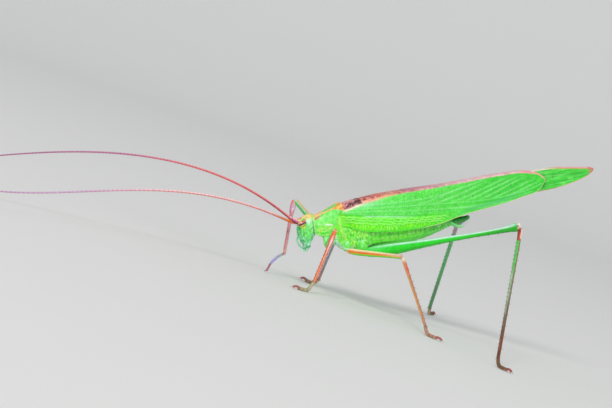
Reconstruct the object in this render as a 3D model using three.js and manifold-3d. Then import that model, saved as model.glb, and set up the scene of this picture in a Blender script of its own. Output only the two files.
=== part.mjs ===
// Long horned grasshopper: a slender green bush katydid, standing, life size.
// Units are millimetres, +Z is up, the head faces -X and the animal's left side faces -Y.
// The trunk is laid out along its own axis (x to the tail, y to its right, z to its back)
// and then pitched head down. The legs are laid out from joint to joint.
import * as THREE from 'three';
import { mergeVertices } from 'three/addons/utils/BufferGeometryUtils.js';
import Module from 'manifold-3d';

const wasm = await Module();
wasm.setup();

// ---------------------------------------------------------------- driving sizes
const BODY_PITCH = 27.98;                         // degrees, head lower than tail
const BODY_AT = [5.18, -0.97, 11.26];             // rear of the pronotum's disc, before centring
const SKIN_GAP = 0.06;                            // clearance between neighbouring pieces
const WING_THICK = 0.5;                           // tegmen and hind wing
const FEELER_R = 0.26;                            // antenna radius in the solids
const EYE = { x: -5.94, y: 1.22, z: -0.07, r: [0.60, 0.40, 0.39], tilt: 12 };

const FEMUR_FORE = 7.3, TIBIA_FORE = 7.9;
const FEMUR_MID = 8.7, TIBIA_MID = 10.6;
const FEMUR_HIND = 22.8, TIBIA_HIND = 20.4;
const FOOT_R = 0.27;                              // half thickness of a foot pad

// trochanter, and the directions of femur and tibia, one set for each leg
const LEGS = {
  fore_left:  { tro: [4.27, -2.37, 6.54],  knee: [3.39, -8.88, 9.24],    ankle: [3.27, -7.23, 1.51],  fem: FEMUR_FORE, tib: TIBIA_FORE, toe: [-0.86, -0.50] },
  fore_right: { tro: [4.68, 0.75, 7.31],   knee: [-1.60, 1.84, 11.12],   ankle: [-0.31, 1.46, 3.34],  fem: FEMUR_FORE, tib: TIBIA_FORE, toe: [-0.90, 0.43] },
  mid_left:   { tro: [7.12, -2.69, 6.82],  knee: [13.73, -7.98, 8.83],   ankle: [18.89, -12.94, 1.05], fem: FEMUR_MID, tib: TIBIA_MID,  toe: [0.62, -0.78] },
  mid_right:  { tro: [7.41, 0.74, 7.17],   knee: [7.65, 8.42, 11.24],    ankle: [6.49, 5.95, 1.05],   fem: FEMUR_MID,  tib: TIBIA_MID,  toe: [-0.60, 0.80] },
  hind_left:  { tro: [9.51, -2.91, 7.38],  knee: [26.79, -13.16, 18.15], ankle: [26.70, -24.35, 1.10], fem: FEMUR_HIND, tib: TIBIA_HIND, toe: [0.45, -0.89] },
  hind_right: { tro: [9.94, 0.91, 7.60],   knee: [24.77, 13.22, 19.77],  ankle: [27.15, 21.03, 1.10], fem: FEMUR_HIND, tib: TIBIA_HIND, toe: [0.52, 0.85] },
};

// antennae: the four control points of one smooth sweep each
const ANTENNA = {
  left:  [[-1.98, -1.77, 8.63], [-19.05, -8.02, 15.15], [-37.04, -27.74, 9.14], [-47.67, -42.43, 5.92]],
  right: [[-1.85, -0.33, 8.07], [-23.99, -4.41, 10.76], [-36.66, -16.71, -2.40], [-54.44, -29.38, 1.10]],
};

// ---------------------------------------------------------------- colours
const tone = (hex, roughness = 0.55) => new THREE.MeshStandardMaterial({ color: hex, roughness, metalness: 0 });
const GREEN = tone(0x7be468), LIME = tone(0x8ff45e), LEAF = tone(0x68dc5c), DEEP = tone(0x4cb956);
const EYE_PINK = tone(0xa8404a, 0.25), PINK = tone(0xc07078), ORANGE = tone(0xe6a371), CREAM = tone(0xe8dc9c);
const BROWN = tone(0x6a5148);

// ---------------------------------------------------------------- small helpers
const V = (x, y, z) => new THREE.Vector3(x, y, z);
const lerp = (a, b, t) => a + (b - a) * t;
const clamp = (t, a = 0, b = 1) => Math.min(b, Math.max(a, t));

// smooth curve through a few [position, value] stations
function curve(table) {
  return (x) => {
    const n = table.length;
    if (x <= table[0][0]) return table[0][1];
    if (x >= table[n - 1][0]) return table[n - 1][1];
    let i = 0;
    while (x > table[i + 1][0]) i++;
    const [x0, y0] = table[i], [x1, y1] = table[i + 1], h = x1 - x0, d = (y1 - y0) / h;
    const before = i > 0 ? (y0 - table[i - 1][1]) / (x0 - table[i - 1][0]) : d;
    const after = i < n - 2 ? (table[i + 2][1] - y1) / (table[i + 2][0] - x1) : d;
    const m = (p, q) => (p * q <= 0 ? 0 : 2 * p * q / (p + q));
    const m0 = i > 0 ? m(before, d) : d, m1 = i < n - 2 ? m(d, after) : d;
    const t = (x - x0) / h;
    return y0 * (1 + 2 * t) * (1 - t) ** 2 + h * m0 * t * (1 - t) ** 2
      + y1 * t * t * (3 - 2 * t) + h * m1 * t * t * (t - 1);
  };
}

// trunk coordinates to standing coordinates
const pitch = THREE.MathUtils.degToRad(BODY_PITCH);
const trunkTurn = new THREE.Matrix4().makeBasis(
  V(Math.cos(pitch), 0, Math.sin(pitch)), V(0, 1, 0), V(-Math.sin(pitch), 0, Math.cos(pitch)))
  .setPosition(...BODY_AT);
const stand = (p) => p.clone().applyMatrix4(trunkTurn);

// a closed body from rings of equal count, its ends closed by fans
function skin(rings) {
  const n = rings[0].length, pos = [], tri = [];
  rings.forEach((r) => r.forEach((p) => pos.push(p.x, p.y, p.z)));
  for (let i = 0; i < rings.length - 1; i++) {
    for (let j = 0; j < n; j++) {
      const a = i * n + j, b = i * n + (j + 1) % n, c = a + n, d = b + n;
      tri.push(a, b, d, a, d, c);
    }
  }
  for (const [ring, flip] of [[0, true], [rings.length - 1, false]]) {
    const mid = rings[ring].reduce((s, p) => s.add(p), V(0, 0, 0)).divideScalar(n);
    const m = pos.length / 3;
    pos.push(mid.x, mid.y, mid.z);
    for (let j = 0; j < n; j++) {
      const a = ring * n + j, b = ring * n + (j + 1) % n;
      if (flip) tri.push(m, b, a); else tri.push(m, a, b);
    }
  }
  return outward(geometry(pos, tri));
}

function geometry(pos, tri) {
  const g = new THREE.BufferGeometry();
  g.setAttribute('position', new THREE.Float32BufferAttribute(pos, 3));
  g.setIndex(tri);
  return g;
}

function outward(g) {
  const p = g.attributes.position, ix = g.index.array;
  const a = V(0, 0, 0), b = V(0, 0, 0), c = V(0, 0, 0);
  let vol = 0;
  for (let i = 0; i < ix.length; i += 3) {
    a.fromBufferAttribute(p, ix[i]); b.fromBufferAttribute(p, ix[i + 1]); c.fromBufferAttribute(p, ix[i + 2]);
    vol += a.dot(b.cross(c));
  }
  if (vol < 0) {
    for (let i = 0; i < ix.length; i += 3) { const t = ix[i + 1]; ix[i + 1] = ix[i + 2]; ix[i + 2] = t; }
  }
  return g;
}

// a tapering body along a path: each station has a point, half widths across (w) and up (h)
// and an upward hint; low clips the section at the floor
function limb(stations, { sides = 10, grow = 0, up = V(0, 0, 1), power = 2, floor = false } = {}) {
  const rings = [];
  const n = stations.length;
  stations.forEach((s, i) => {
    const a = stations[Math.max(0, i - 1)].p, b = stations[Math.min(n - 1, i + 1)].p;
    const t = b.clone().sub(a).normalize();
    const hint = s.up || up;
    const side = t.clone().cross(hint).normalize();
    const top = side.clone().cross(t).normalize();
    const ring = [];
    for (let j = 0; j < sides; j++) {
      const q = (j + 0.5) * 2 * Math.PI / sides, c = Math.cos(q), d = Math.sin(q);
      const pw = 2 / (s.power || power);
      const x = Math.sign(c) * Math.abs(c) ** pw * (s.w + grow);
      const y = Math.sign(d) * Math.abs(d) ** pw * ((s.h ?? s.w) + grow);
      const v = s.p.clone().addScaledVector(side, x).addScaledVector(top, y);
      if (floor && v.z < 0) v.z = 0;
      ring.push(v);
    }
    rings.push(ring);
  });
  if (grow) {
    const shift = (k, o) => rings[k].map((p) => p.clone().add(
      stations[k].p.clone().sub(stations[o].p).normalize().multiplyScalar(grow)));
    rings[0] = shift(0, 1);
    rings[n - 1] = shift(n - 1, n - 2);
  }
  return skin(rings);
}

// a straight limb from A to B: profile rows are [share of length, half width, half height, lift]
function straight(A, B, profile, options = {}) {
  const up = (options.up || V(0, 0, 1)).clone();
  const d = B.clone().sub(A).normalize();
  const lift = up.clone().addScaledVector(d, -up.dot(d)).normalize();
  return limb(profile.map(([t, w, h, l = 0]) => ({
    p: A.clone().lerp(B, t).addScaledVector(lift, l), w, h,
  })), { ...options, up: lift });
}

// a thin sheet between an outer face and an inner face, both over (u, v), closed all round
function sheet(outer, inner, nu, nv, grow = 0) {
  const at = (u, v) => {
    const e = grow ? 0.012 : 0;
    const uu = lerp(-e, 1 + e, u), vv = lerp(-e, 1 + e, v);
    const p = outer(uu, vv), q = inner(uu, vv), d = p.clone().sub(q).normalize();
    return [p.addScaledVector(d, grow), q.addScaledVector(d, -grow)];
  };
  const pos = [], tri = [], id = [[], []];
  for (let s = 0; s < 2; s++) {
    for (let i = 0; i <= nu; i++) {
      id[s].push([]);
      for (let j = 0; j <= nv; j++) {
        const p = at(i / nu, j / nv)[s];
        id[s][i].push(pos.length / 3);
        pos.push(p.x, p.y, p.z);
      }
    }
  }
  for (let i = 0; i < nu; i++) {
    for (let j = 0; j < nv; j++) {
      const [a, b, c, d] = [id[0][i][j], id[0][i + 1][j], id[0][i + 1][j + 1], id[0][i][j + 1]];
      tri.push(a, b, c, a, c, d);
      const [e, f, g, h] = [id[1][i][j], id[1][i + 1][j], id[1][i + 1][j + 1], id[1][i][j + 1]];
      tri.push(e, g, f, e, h, g);
    }
  }
  const wall = (p, q) => { tri.push(id[0][p[0]][p[1]], id[1][p[0]][p[1]], id[1][q[0]][q[1]], id[0][p[0]][p[1]], id[1][q[0]][q[1]], id[0][q[0]][q[1]]); };
  for (let i = 0; i < nu; i++) { wall([i, 0], [i + 1, 0]); wall([i + 1, nv], [i, nv]); }
  for (let j = 0; j < nv; j++) { wall([0, j + 1], [0, j]); wall([nu, j], [nu, j + 1]); }
  return outward(geometry(pos, tri));
}

function solid(g) {
  const bare = new THREE.BufferGeometry();
  bare.setAttribute('position', g.attributes.position.clone());
  if (g.index) bare.setIndex(Array.from(g.index.array));
  const m = mergeVertices(bare, 1e-5);
  return new wasm.Manifold(new wasm.Mesh({
    numProp: 3, vertProperties: Float32Array.from(m.attributes.position.array), triVerts: Uint32Array.from(m.index.array),
  }));
}

// what is left of a body beside its neighbours; only the largest piece is kept
function beside(g, ...neighbours) {
  let s = solid(g);
  for (const k of neighbours) s = s.subtract(solid(k));
  s = s.simplify(0.014);
  const bits = s.decompose().sort((a, b) => b.volume() - a.volume());
  const m = bits[0].getMesh();
  const pos = [];
  for (let i = 0; i < m.vertProperties.length / m.numProp; i++) {
    for (let k = 0; k < 3; k++) pos.push(m.vertProperties[i * m.numProp + k]);
  }
  return geometry(pos, Array.from(m.triVerts));
}

const root = new THREE.Group();
// each piece turns about its own base, so its mesh is placed there
function piece(group, name, g, material, base) {
  const shape = g.toNonIndexed();
  shape.translate(-base.x, -base.y, -base.z);
  const merged = mergeVertices(shape, 1e-4);
  merged.computeVertexNormals();
  const mesh = new THREE.Mesh(merged, material);
  mesh.name = name;
  mesh.position.copy(base);
  group.add(mesh);
  return mesh;
}

// ---------------------------------------------------------------- trunk sections
// half of a closed outline, listed from the back's midline down to the belly's midline
function outline(x, half, count, grow = 0) {
  const mirrored = half.slice(1, -1).reverse().map(([y, z]) => [-y, z]);
  const pts = [...half, ...mirrored].map(([y, z]) => V(0, y, z));
  const loop = new THREE.CatmullRomCurve3(pts, true, 'centripetal').getSpacedPoints(count).slice(0, count);
  const mid = loop.reduce((s, p) => s.add(p), V(0, 0, 0)).divideScalar(count);
  return loop.map((p) => {
    const d = p.clone().sub(mid);
    const l = Math.max(1e-6, d.length());
    return stand(V(x, p.y + d.y / l * grow, p.z + d.z / l * grow));
  });
}

// pronotum: a saddle with a flat disc, two side ridges and deep rounded side lobes
const PRO = {
  top: curve([[-4.36, 0.56], [-4.0, 0.66], [-3.1, 0.86], [-1.9, 1.22], [-0.9, 1.58], [-0.1, 1.80], [0.5, 1.72]]),
  ridge: curve([[-4.36, 0.72], [-2.5, 0.90], [-1.0, 1.12], [0.1, 1.26], [0.5, 1.05]]),
  side: curve([[-4.36, 1.20], [-4.0, 1.30], [-3.2, 1.46], [-2.0, 1.56], [-0.6, 1.58], [0.5, 1.25]]),
  low: curve([[-4.36, -1.40], [-4.2, -1.84], [-3.95, -2.16], [-3.4, -2.38], [-2.6, -2.42], [-1.9, -2.08], [-1.4, -1.50], [-1.0, -0.60], [-0.6, 0.40], [0.5, 1.10]]),
};
function pronotum(grow = 0) {
  const xs = [-4.37, -4.2, -3.85, -3.3, -2.6, -1.8, -1.15, -0.7, -0.3, 0.0, 0.12];
  return skin(xs.map((x, i) => {
    const t = PRO.top(x), c = PRO.ridge(x), w = PRO.side(x), l = PRO.low(x);
    const end = i === 0 || i === xs.length - 1 ? 0.93 : 1;
    const mid = (t + l) / 2;
    const f = (y, z) => [y * end, mid + (z - mid) * end];
    const x1 = i === 0 ? x - grow : i === xs.length - 1 ? x + grow : x;
    return outline(x1, [f(0, t), f(c * 0.55, t - 0.01), f(c, t - 0.07), f(lerp(c, w, 0.7), lerp(t, l, 0.16)), f(w, lerp(t, l, 0.5)),
      f(w * 0.97, lerp(t, l, 0.85)), f(w * 0.80, l), f(w * 0.45, lerp(l, t, 0.08)), f(0, lerp(l, t, 0.10))], 22, grow);
  }));
}

// head: long and upright, its crown sloping to a narrow blunt point between the feelers
const HEAD = [ // front x, front z, back x, back z, half width
  [-5.80, 0.70, -4.75, 1.02, 0.22], [-6.28, 0.36, -4.35, 0.98, 0.52], [-6.46, 0.12, -3.95, 0.78, 0.86],
  [-6.42, -0.16, -3.72, 0.30, 1.14], [-6.50, -0.52, -3.66, -0.20, 1.26], [-6.62, -1.02, -3.66, -0.74, 1.30],
  [-6.66, -1.62, -3.84, -1.34, 1.31], [-6.54, -2.24, -4.22, -2.02, 1.24], [-6.34, -2.72, -4.60, -2.62, 1.08],
  [-6.14, -3.06, -4.90, -3.08, 0.86], [-5.95, -3.26, -5.14, -3.30, 0.55],
];
function head(grow = 0) {
  const n = 18;
  return skin(HEAD.map(([fx, fz, bx, bz, w], k) => {
    const ring = [];
    const len = Math.hypot(fx - bx, fz - bz) / 2;
    const dz = k === 0 ? grow : k === HEAD.length - 1 ? -grow : 0;
    for (let j = 0; j < n; j++) {
      const q = j * 2 * Math.PI / n, c = Math.cos(q), s = Math.sin(q);
      const e = 2 / 2.35;
      const a = Math.sign(c) * Math.abs(c) ** e * (1 + grow / len) * 0.5, b = Math.sign(s) * Math.abs(s) ** e;
      ring.push(stand(V((fx + bx) / 2 + (fx - bx) * a, b * (w + grow), (fz + bz) / 2 + (fz - bz) * a + dz)));
    }
    return ring;
  }));
}

// eye: a small bulging oval, leaning forward
function eye(side, grow = 0) {
  const g = new THREE.SphereGeometry(1, 10, 8);
  g.scale(EYE.r[0] + grow, EYE.r[1] + grow, EYE.r[2] + grow);
  g.rotateY(THREE.MathUtils.degToRad(-EYE.tilt));
  g.rotateX(THREE.MathUtils.degToRad(8 * side));
  g.translate(EYE.x, EYE.y * side, EYE.z);
  g.deleteAttribute('normal');
  g.deleteAttribute('uv');
  g.applyMatrix4(trunkTurn);
  return mergeVertices(g, 1e-4);
}

// mouthparts: upper lip with the jaws behind it
function mouth(grow = 0) {
  const rows = [[-2.95, -6.28, -4.96, 0.86], [-3.30, -6.26, -5.18, 0.84], [-3.60, -6.24, -5.46, 0.74], [-3.86, -6.22, -5.72, 0.54], [-4.06, -6.18, -5.88, 0.30]];
  return skin(rows.map(([z, fx, bx, w], k) => {
    const ring = [];
    for (let j = 0; j < 12; j++) {
      const q = j * Math.PI / 6, c = Math.cos(q), s = Math.sin(q);
      ring.push(stand(V((fx + bx) / 2 - (bx - fx) / 2 * c * (1 + grow), s * (w + grow), z + (k === 0 ? grow : k === 4 ? -grow : 0))));
    }
    return ring;
  }));
}

// thorax behind and below the pronotum
const THO = {
  top: curve([[-3.5, 0.0], [-0.8, 0.9], [0.6, 1.25], [3.4, 1.15]]),
  low: curve([[-3.5, -2.3], [-2.9, -2.85], [-2.1, -3.55], [-1.2, -4.44], [-0.6, -4.88], [0.0, -5.12], [1.2, -5.32], [2.6, -5.40], [3.4, -5.38]]),
  wide: curve([[-3.5, 0.95], [-2.5, 1.10], [-1.2, 1.45], [0.5, 1.72], [2.2, 1.78], [3.4, 1.62]]),
};
function thorax(grow = 0) {
  const xs = [-3.45, -3.2, -2.5, -1.7, -0.9, 0.1, 1.2, 2.4, 3.4];
  return skin(xs.map((x, i) => {
    const t = THO.top(x), l = THO.low(x), w = THO.wide(x);
    const x1 = i === 0 ? x - grow : i === xs.length - 1 ? x + grow : x;
    return outline(x1, [[0, t], [w * 0.72, t - 0.22], [w * 0.93, lerp(t, l, 0.3)], [w, lerp(t, l, 0.62)], [w * 0.90, lerp(t, l, 0.86)], [w * 0.5, lerp(t, l, 0.985)], [0, l]], 18, grow);
  }));
}

// abdomen, tapering under the wings
const ABD = {
  top: curve([[3.3, 0.55], [6, 0.20], [10, -0.35], [12.5, -1.20], [14.4, -2.20], [15.2, -2.9]]),
  low: curve([[3.3, -5.38], [5, -5.44], [7.5, -5.40], [10.7, -5.18], [12.5, -4.80], [14.2, -4.34], [15.2, -4.05]]),
  wide: curve([[3.3, 1.50], [7, 1.50], [11, 1.34], [13.4, 1.10], [15.2, 0.78]]),
};
function abdomen(x0, x1, grow = 0, steps = 3) {
  const xs = [];
  for (let i = 0; i <= steps; i++) xs.push(lerp(x0, x1, i / steps));
  if (x1 > 15) xs.push(15.35);
  return skin(xs.map((x, i) => {
    const t = ABD.top(x), l = ABD.low(x), w = ABD.wide(x);
    const end = x > 15.3 ? 0.72 : 1, mid = (t + l) / 2;
    const xx = i === 0 ? x - grow : i === xs.length - 1 ? x + grow : x;
    const f = (y, z) => [y * end, mid + (z - mid) * end];
    return outline(xx, [f(0, t), f(w * 0.62, lerp(t, l, 0.05)), f(w * 0.96, lerp(t, l, 0.32)), f(w, lerp(t, l, 0.62)), f(w * 0.82, lerp(t, l, 0.88)), f(w * 0.40, lerp(t, l, 0.99)), f(0, l)], 16, grow);
  }));
}

// tegmen: a narrow flat top strip, a rounded bend and a tall side, ending in a rounded tip
const TEG = {
  tip: 29.3,
  ridge: curve([[0, 1.58], [1.4, 1.75], [3.2, 1.86], [6, 2], [9, 2], [14.5, 1.9], [18, 1.93], [21.5, 2.05], [24.6, 2.08], [26.3, 1.94], [27.6, 1.66], [28.5, 1.28], [29.1, 0.76], [29.3, 0.46]]),
  low: curve([[0.5, -1.55], [1.2, -2.10], [2.2, -2.46], [4.7, -2.98], [7.5, -3.38], [10.4, -3.45], [13.3, -3.30], [16, -2.80], [17.8, -2.52], [20.5, -2.26], [22.3, -2.10], [24.1, -1.84], [26, -1.52], [27.5, -1.28], [28.4, -0.84], [29.0, -0.20], [29.3, 0.20]]),
  half: curve([[0, 1.42], [1.5, 1.52], [4, 1.76], [8, 1.88], [12, 1.74], [16, 1.48], [20, 1.28], [24, 1.18], [29.3, 1.12]]),
  hem: curve([[0, 1.80], [3, 2.02], [8, 2.04], [12, 1.86], [16, 1.64], [22, 1.38], [29.3, 1.18]]),
  bend: curve([[0, 0.42], [4, 0.24], [9, 0.20], [20, 0.22], [29.3, 0.26]]),
};
// a tegmen's section at x, set in by d from its outer face
function tegmenSection(x, d) {
  const r = TEG.ridge(x), l = TEG.low(x), h = TEG.half(x) - d, m = TEG.hem(x) - d, b = TEG.bend(x);
  const s = clamp((r - l) / 3.2), top = r - d * s, y0 = lerp(h, 0.035, s);
  return [[y0, top], [lerp(y0, h, 0.45), top - 0.03 * s], [lerp(y0, h, 0.84), top - b * 0.6 * s], [h, top - (b + 0.45) * s], [lerp(h, m, 0.42), lerp(top, l, 0.52)], [m, l]];
}
function tegmenPoint(u, v, side, d) {
  const x = lerp(lerp(0.20, 0.95, clamp(v)), TEG.tip, u < 0 || u > 1 ? u : 1 - (1 - u) ** 1.25);
  const cv = new THREE.CatmullRomCurve3(tegmenSection(x, d).map(([y, z]) => V(0, y, z)), false, 'centripetal');
  const p = cv.getPoint(clamp(v));
  if (v < 0 || v > 1) p.addScaledVector(cv.getTangent(clamp(v)), (v < 0 ? v : v - 1) * 16);
  return stand(V(x, p.y * side, p.z));
}
const tegmen = (side, grow = 0) => sheet((u, v) => tegmenPoint(u, v, side, 0), (u, v) => tegmenPoint(u, v, side, WING_THICK), 16, 6, grow);

// hind wing: folded flat inside the tegmen, its pointed end showing beyond
const HIND = {
  top: curve([[5, 1.02], [10, 1.26], [20, 1.32], [24, 1.38], [26.4, 1.58], [28.5, 1.76], [30.5, 1.74], [32.8, 1.46], [34.6, 1.16], [35.8, 0.94], [36.5, 0.74]]),
  low: curve([[5, 0.60], [10, 0.05], [14, -0.90], [18, -1.75], [22, -1.60], [26, -1.36], [29.6, -1.28], [31.4, -1.15], [33.2, -0.86], [35.1, -0.40], [36.0, 0.02], [36.5, 0.40]]),
  off: curve([[5, 0.86], [12, 0.80], [20, 0.64], [28, 0.57], [36.5, 0.55]]),
};
function hindPoint(u, v, side, d) {
  const x = lerp(5, 36.5, u < 0 || u > 1 ? u : 1 - (1 - u) ** 1.3), z = lerp(HIND.top(x), HIND.low(x), v);
  return stand(V(x, side * (HIND.off(x) - d), z));
}
const hindWing = (side, grow = 0) => sheet((u, v) => hindPoint(u, v, side, 0), (u, v) => hindPoint(u, v, side, WING_THICK), 12, 3, grow);

// ---------------------------------------------------------------- build the trunk
const trunk = new THREE.Group();
root.add(trunk);
const G = SKIN_GAP;
const proG = pronotum(G), headG = head(G), thoG = thorax(G);
const eyesG = [eye(-1, G), eye(1, G)];

piece(trunk, 'pronotum', pronotum(), LIME, stand(V(-1.8, 0, 0)));
piece(trunk, 'head', beside(head(), proG, ...eyesG), GREEN, stand(V(-4.0, 0, -0.6)));
piece(trunk, 'eye_left', eye(-1), EYE_PINK, stand(V(EYE.x, -EYE.y, EYE.z)));
piece(trunk, 'eye_right', eye(1), EYE_PINK, stand(V(EYE.x, EYE.y, EYE.z)));
piece(trunk, 'mouthparts', beside(mouth(), headG, proG), GREEN, stand(V(-5.4, 0, -3.2)));
const mouthG = mouth(G);

const wings = { left: tegmen(-1), right: tegmen(1) };
const wingsG = [tegmen(-1, 2 * G), tegmen(1, 2 * G)];
const hindG = [hindWing(-1, 2 * G), hindWing(1, 2 * G)];
piece(trunk, 'thorax', beside(thorax(), proG, headG, ...wingsG), LIME, stand(V(0, 0, -2)));
const cuts = [3.46, 7.4, 11.2, 15.2];
['abdomen_front', 'abdomen_middle', 'abdomen_rear'].forEach((name, i) => {
  piece(trunk, name, beside(abdomen(cuts[i], cuts[i + 1] - (i < 2 ? G : 0)), ...wingsG, ...hindG, thoG), LEAF, stand(V(cuts[i], 0, -3)));
});
const abdG = [0, 1, 2].map((i) => abdomen(cuts[i], cuts[i + 1], G));
for (const [side, name] of [[-1, 'left'], [1, 'right']]) {
  piece(trunk, 'tegmen_' + name, beside(wings[name], proG), GREEN, stand(V(0.6, side * 1.5, 1)));
  piece(trunk, 'hind_wing_' + name, beside(hindWing(side), ...wingsG, thoG), DEEP, stand(V(5, side * 0.9, 1)));
}

// tail end: an upcurved plate below and a sickle-shaped feeler on each side
function tail(points, widths, grow = 0, flat = 1) {
  const cv = new THREE.CatmullRomCurve3(points.map((p) => V(...p)), false, 'centripetal');
  const n = widths.length;
  return limb(widths.map((w, i) => ({ p: stand(cv.getPoint(i / (n - 1))), w: w * flat, h: w })), { sides: 6, grow, up: V(0.6, 0, 1) });
}
const PLATE = [[14.6, 0, -3.50], [15.6, 0, -3.48], [16.6, 0, -3.46], [17.4, 0, -3.36], [18.0, 0, -3.18]];
const CERCUS = [[14.7, 0.75, -3.05], [15.2, 0.96, -3.68], [15.85, 1.02, -4.13], [16.6, 0.94, -4.24], [17.45, 0.72, -3.86]];
const plateG = tail(PLATE, [0.56, 0.50, 0.42, 0.36, 0.27], G, 1.1);
piece(trunk, 'subgenital_plate', beside(tail(PLATE, [0.56, 0.50, 0.42, 0.36, 0.27], 0, 1.1), ...abdG), LEAF, stand(V(15.3, 0, -4.2)));
for (const [side, name] of [[-1, 'left'], [1, 'right']]) {
  const path = CERCUS.map(([x, y, z]) => [x, y * side, z]);
  piece(trunk, 'cercus_' + name, beside(tail(path, [0.30, 0.32, 0.30, 0.28, 0.27, 0.26]), ...abdG, plateG), CREAM, stand(V(15.0, side * 0.72, -3.45)));
}

// palps: two pairs of slender jointed feelers under the face
const PALPS = {
  maxillary: [[-5.70, 0.80, -2.90], [-6.45, 1.02, -2.50], [-6.85, 1.04, -3.10], [-6.42, 0.98, -3.98]],
  labial: [[-5.15, 0.58, -3.45], [-5.40, 0.82, -3.90], [-5.62, 0.76, -4.25], [-5.88, 0.68, -4.55]],
};
for (const kind of ['maxillary', 'labial']) {
  for (const [side, name] of [[-1, 'left'], [1, 'right']]) {
    const path = PALPS[kind].map(([x, y, z]) => [x, y * side, z]);
    piece(trunk, 'palp_' + kind + '_' + name, beside(tail(path, [0.25, 0.25, 0.25, 0.25, 0.26, 0.27, 0.24]), headG, mouthG), CREAM,
      stand(V(path[0][0], path[0][1], path[0][2])));
  }
}

// ---------------------------------------------------------------- antennae
for (const [side, name] of [[-1, 'left'], [1, 'right']]) {
  const group = new THREE.Group();
  root.add(group);
  const sweep = new THREE.CubicBezierCurve3(...ANTENNA[name].map((p) => V(...p)));
  const socket = stand(V(-6.12, side * 0.46, -0.16));
  const p0 = sweep.getPoint(0.0);
  // scape and pedicel
  const base = limb([[0, 0.30], [0.22, 0.34], [0.62, 0.33], [0.78, 0.27], [1, 0.26]].map(([t, w]) => ({ p: socket.clone().lerp(p0, t), w, h: w })), { sides: 8 });
  piece(group, 'antenna_' + name + '_scape', beside(base, headG, ...eyesG), ORANGE, socket);
  // the thread in three lengths
  const marks = [0.004, 0.34, 0.68, 1];
  for (let k = 0; k < 3; k++) {
    const steps = 8, st = [];
    for (let i = 0; i <= steps; i++) {
      const t = lerp(marks[k] + (k ? 0.0012 : 0.002), marks[k + 1], i / steps);
      st.push({ p: sweep.getPoint(t), w: FEELER_R, h: FEELER_R });
    }
    const g = limb(st, { sides: 6 });
    piece(group, 'antenna_' + name + '_' + (k + 1), g, k ? PINK : ORANGE, sweep.getPoint(marks[k]));
  }
}

// ---------------------------------------------------------------- legs
const FEMUR = {
  fore: [[0.0, 0.26, 0.30], [0.04, 0.36, 0.40], [0.25, 0.36, 0.42], [0.6, 0.33, 0.38], [0.85, 0.31, 0.36], [0.95, 0.33, 0.40], [1.0, 0.26, 0.30]],
  mid: [[0.0, 0.26, 0.30], [0.04, 0.38, 0.44], [0.22, 0.38, 0.45, -0.06], [0.6, 0.33, 0.37, -0.03], [0.88, 0.30, 0.33], [0.96, 0.31, 0.36], [1.0, 0.25, 0.28]],
  hind: [[0.0, 0.36, 0.42], [0.02, 0.52, 0.66, -0.04], [0.07, 0.62, 0.84, -0.12], [0.14, 0.64, 0.92, -0.16], [0.22, 0.60, 0.86, -0.16], [0.32, 0.52, 0.70, -0.12], [0.44, 0.42, 0.55, -0.06],
    [0.58, 0.34, 0.43], [0.74, 0.29, 0.34], [0.86, 0.30, 0.36], [0.93, 0.34, 0.46], [0.975, 0.38, 0.56], [1.0, 0.30, 0.42]],
};
const TIBIA = {
  fore: [[0.0, 0.27, 0.30], [0.05, 0.30, 0.36], [0.12, 0.36, 0.44], [0.20, 0.34, 0.42], [0.28, 0.27, 0.31], [0.6, 0.26, 0.28], [0.95, 0.27, 0.29], [1.0, 0.25, 0.26]],
  mid: [[0.0, 0.27, 0.29], [0.06, 0.30, 0.31], [0.3, 0.26, 0.27], [0.94, 0.26, 0.27], [1.0, 0.25, 0.25]],
  hind: [[0.0, 0.30, 0.32], [0.03, 0.32, 0.38], [0.08, 0.28, 0.30], [0.4, 0.27, 0.28], [0.95, 0.27, 0.29], [1.0, 0.26, 0.26]],
};
const COXA = { fore: [0.54, 0.47, 0.40], mid: [0.72, 0.62, 0.44], hind: [0.92, 0.84, 0.60] };
const ATTACH = { fore: [0.25, 0.62, 1.15], mid: [0.30, 0.75, 1.10], hind: [-0.15, 0.85, 1.20] }; // into the trunk: along, inward, up

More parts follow.
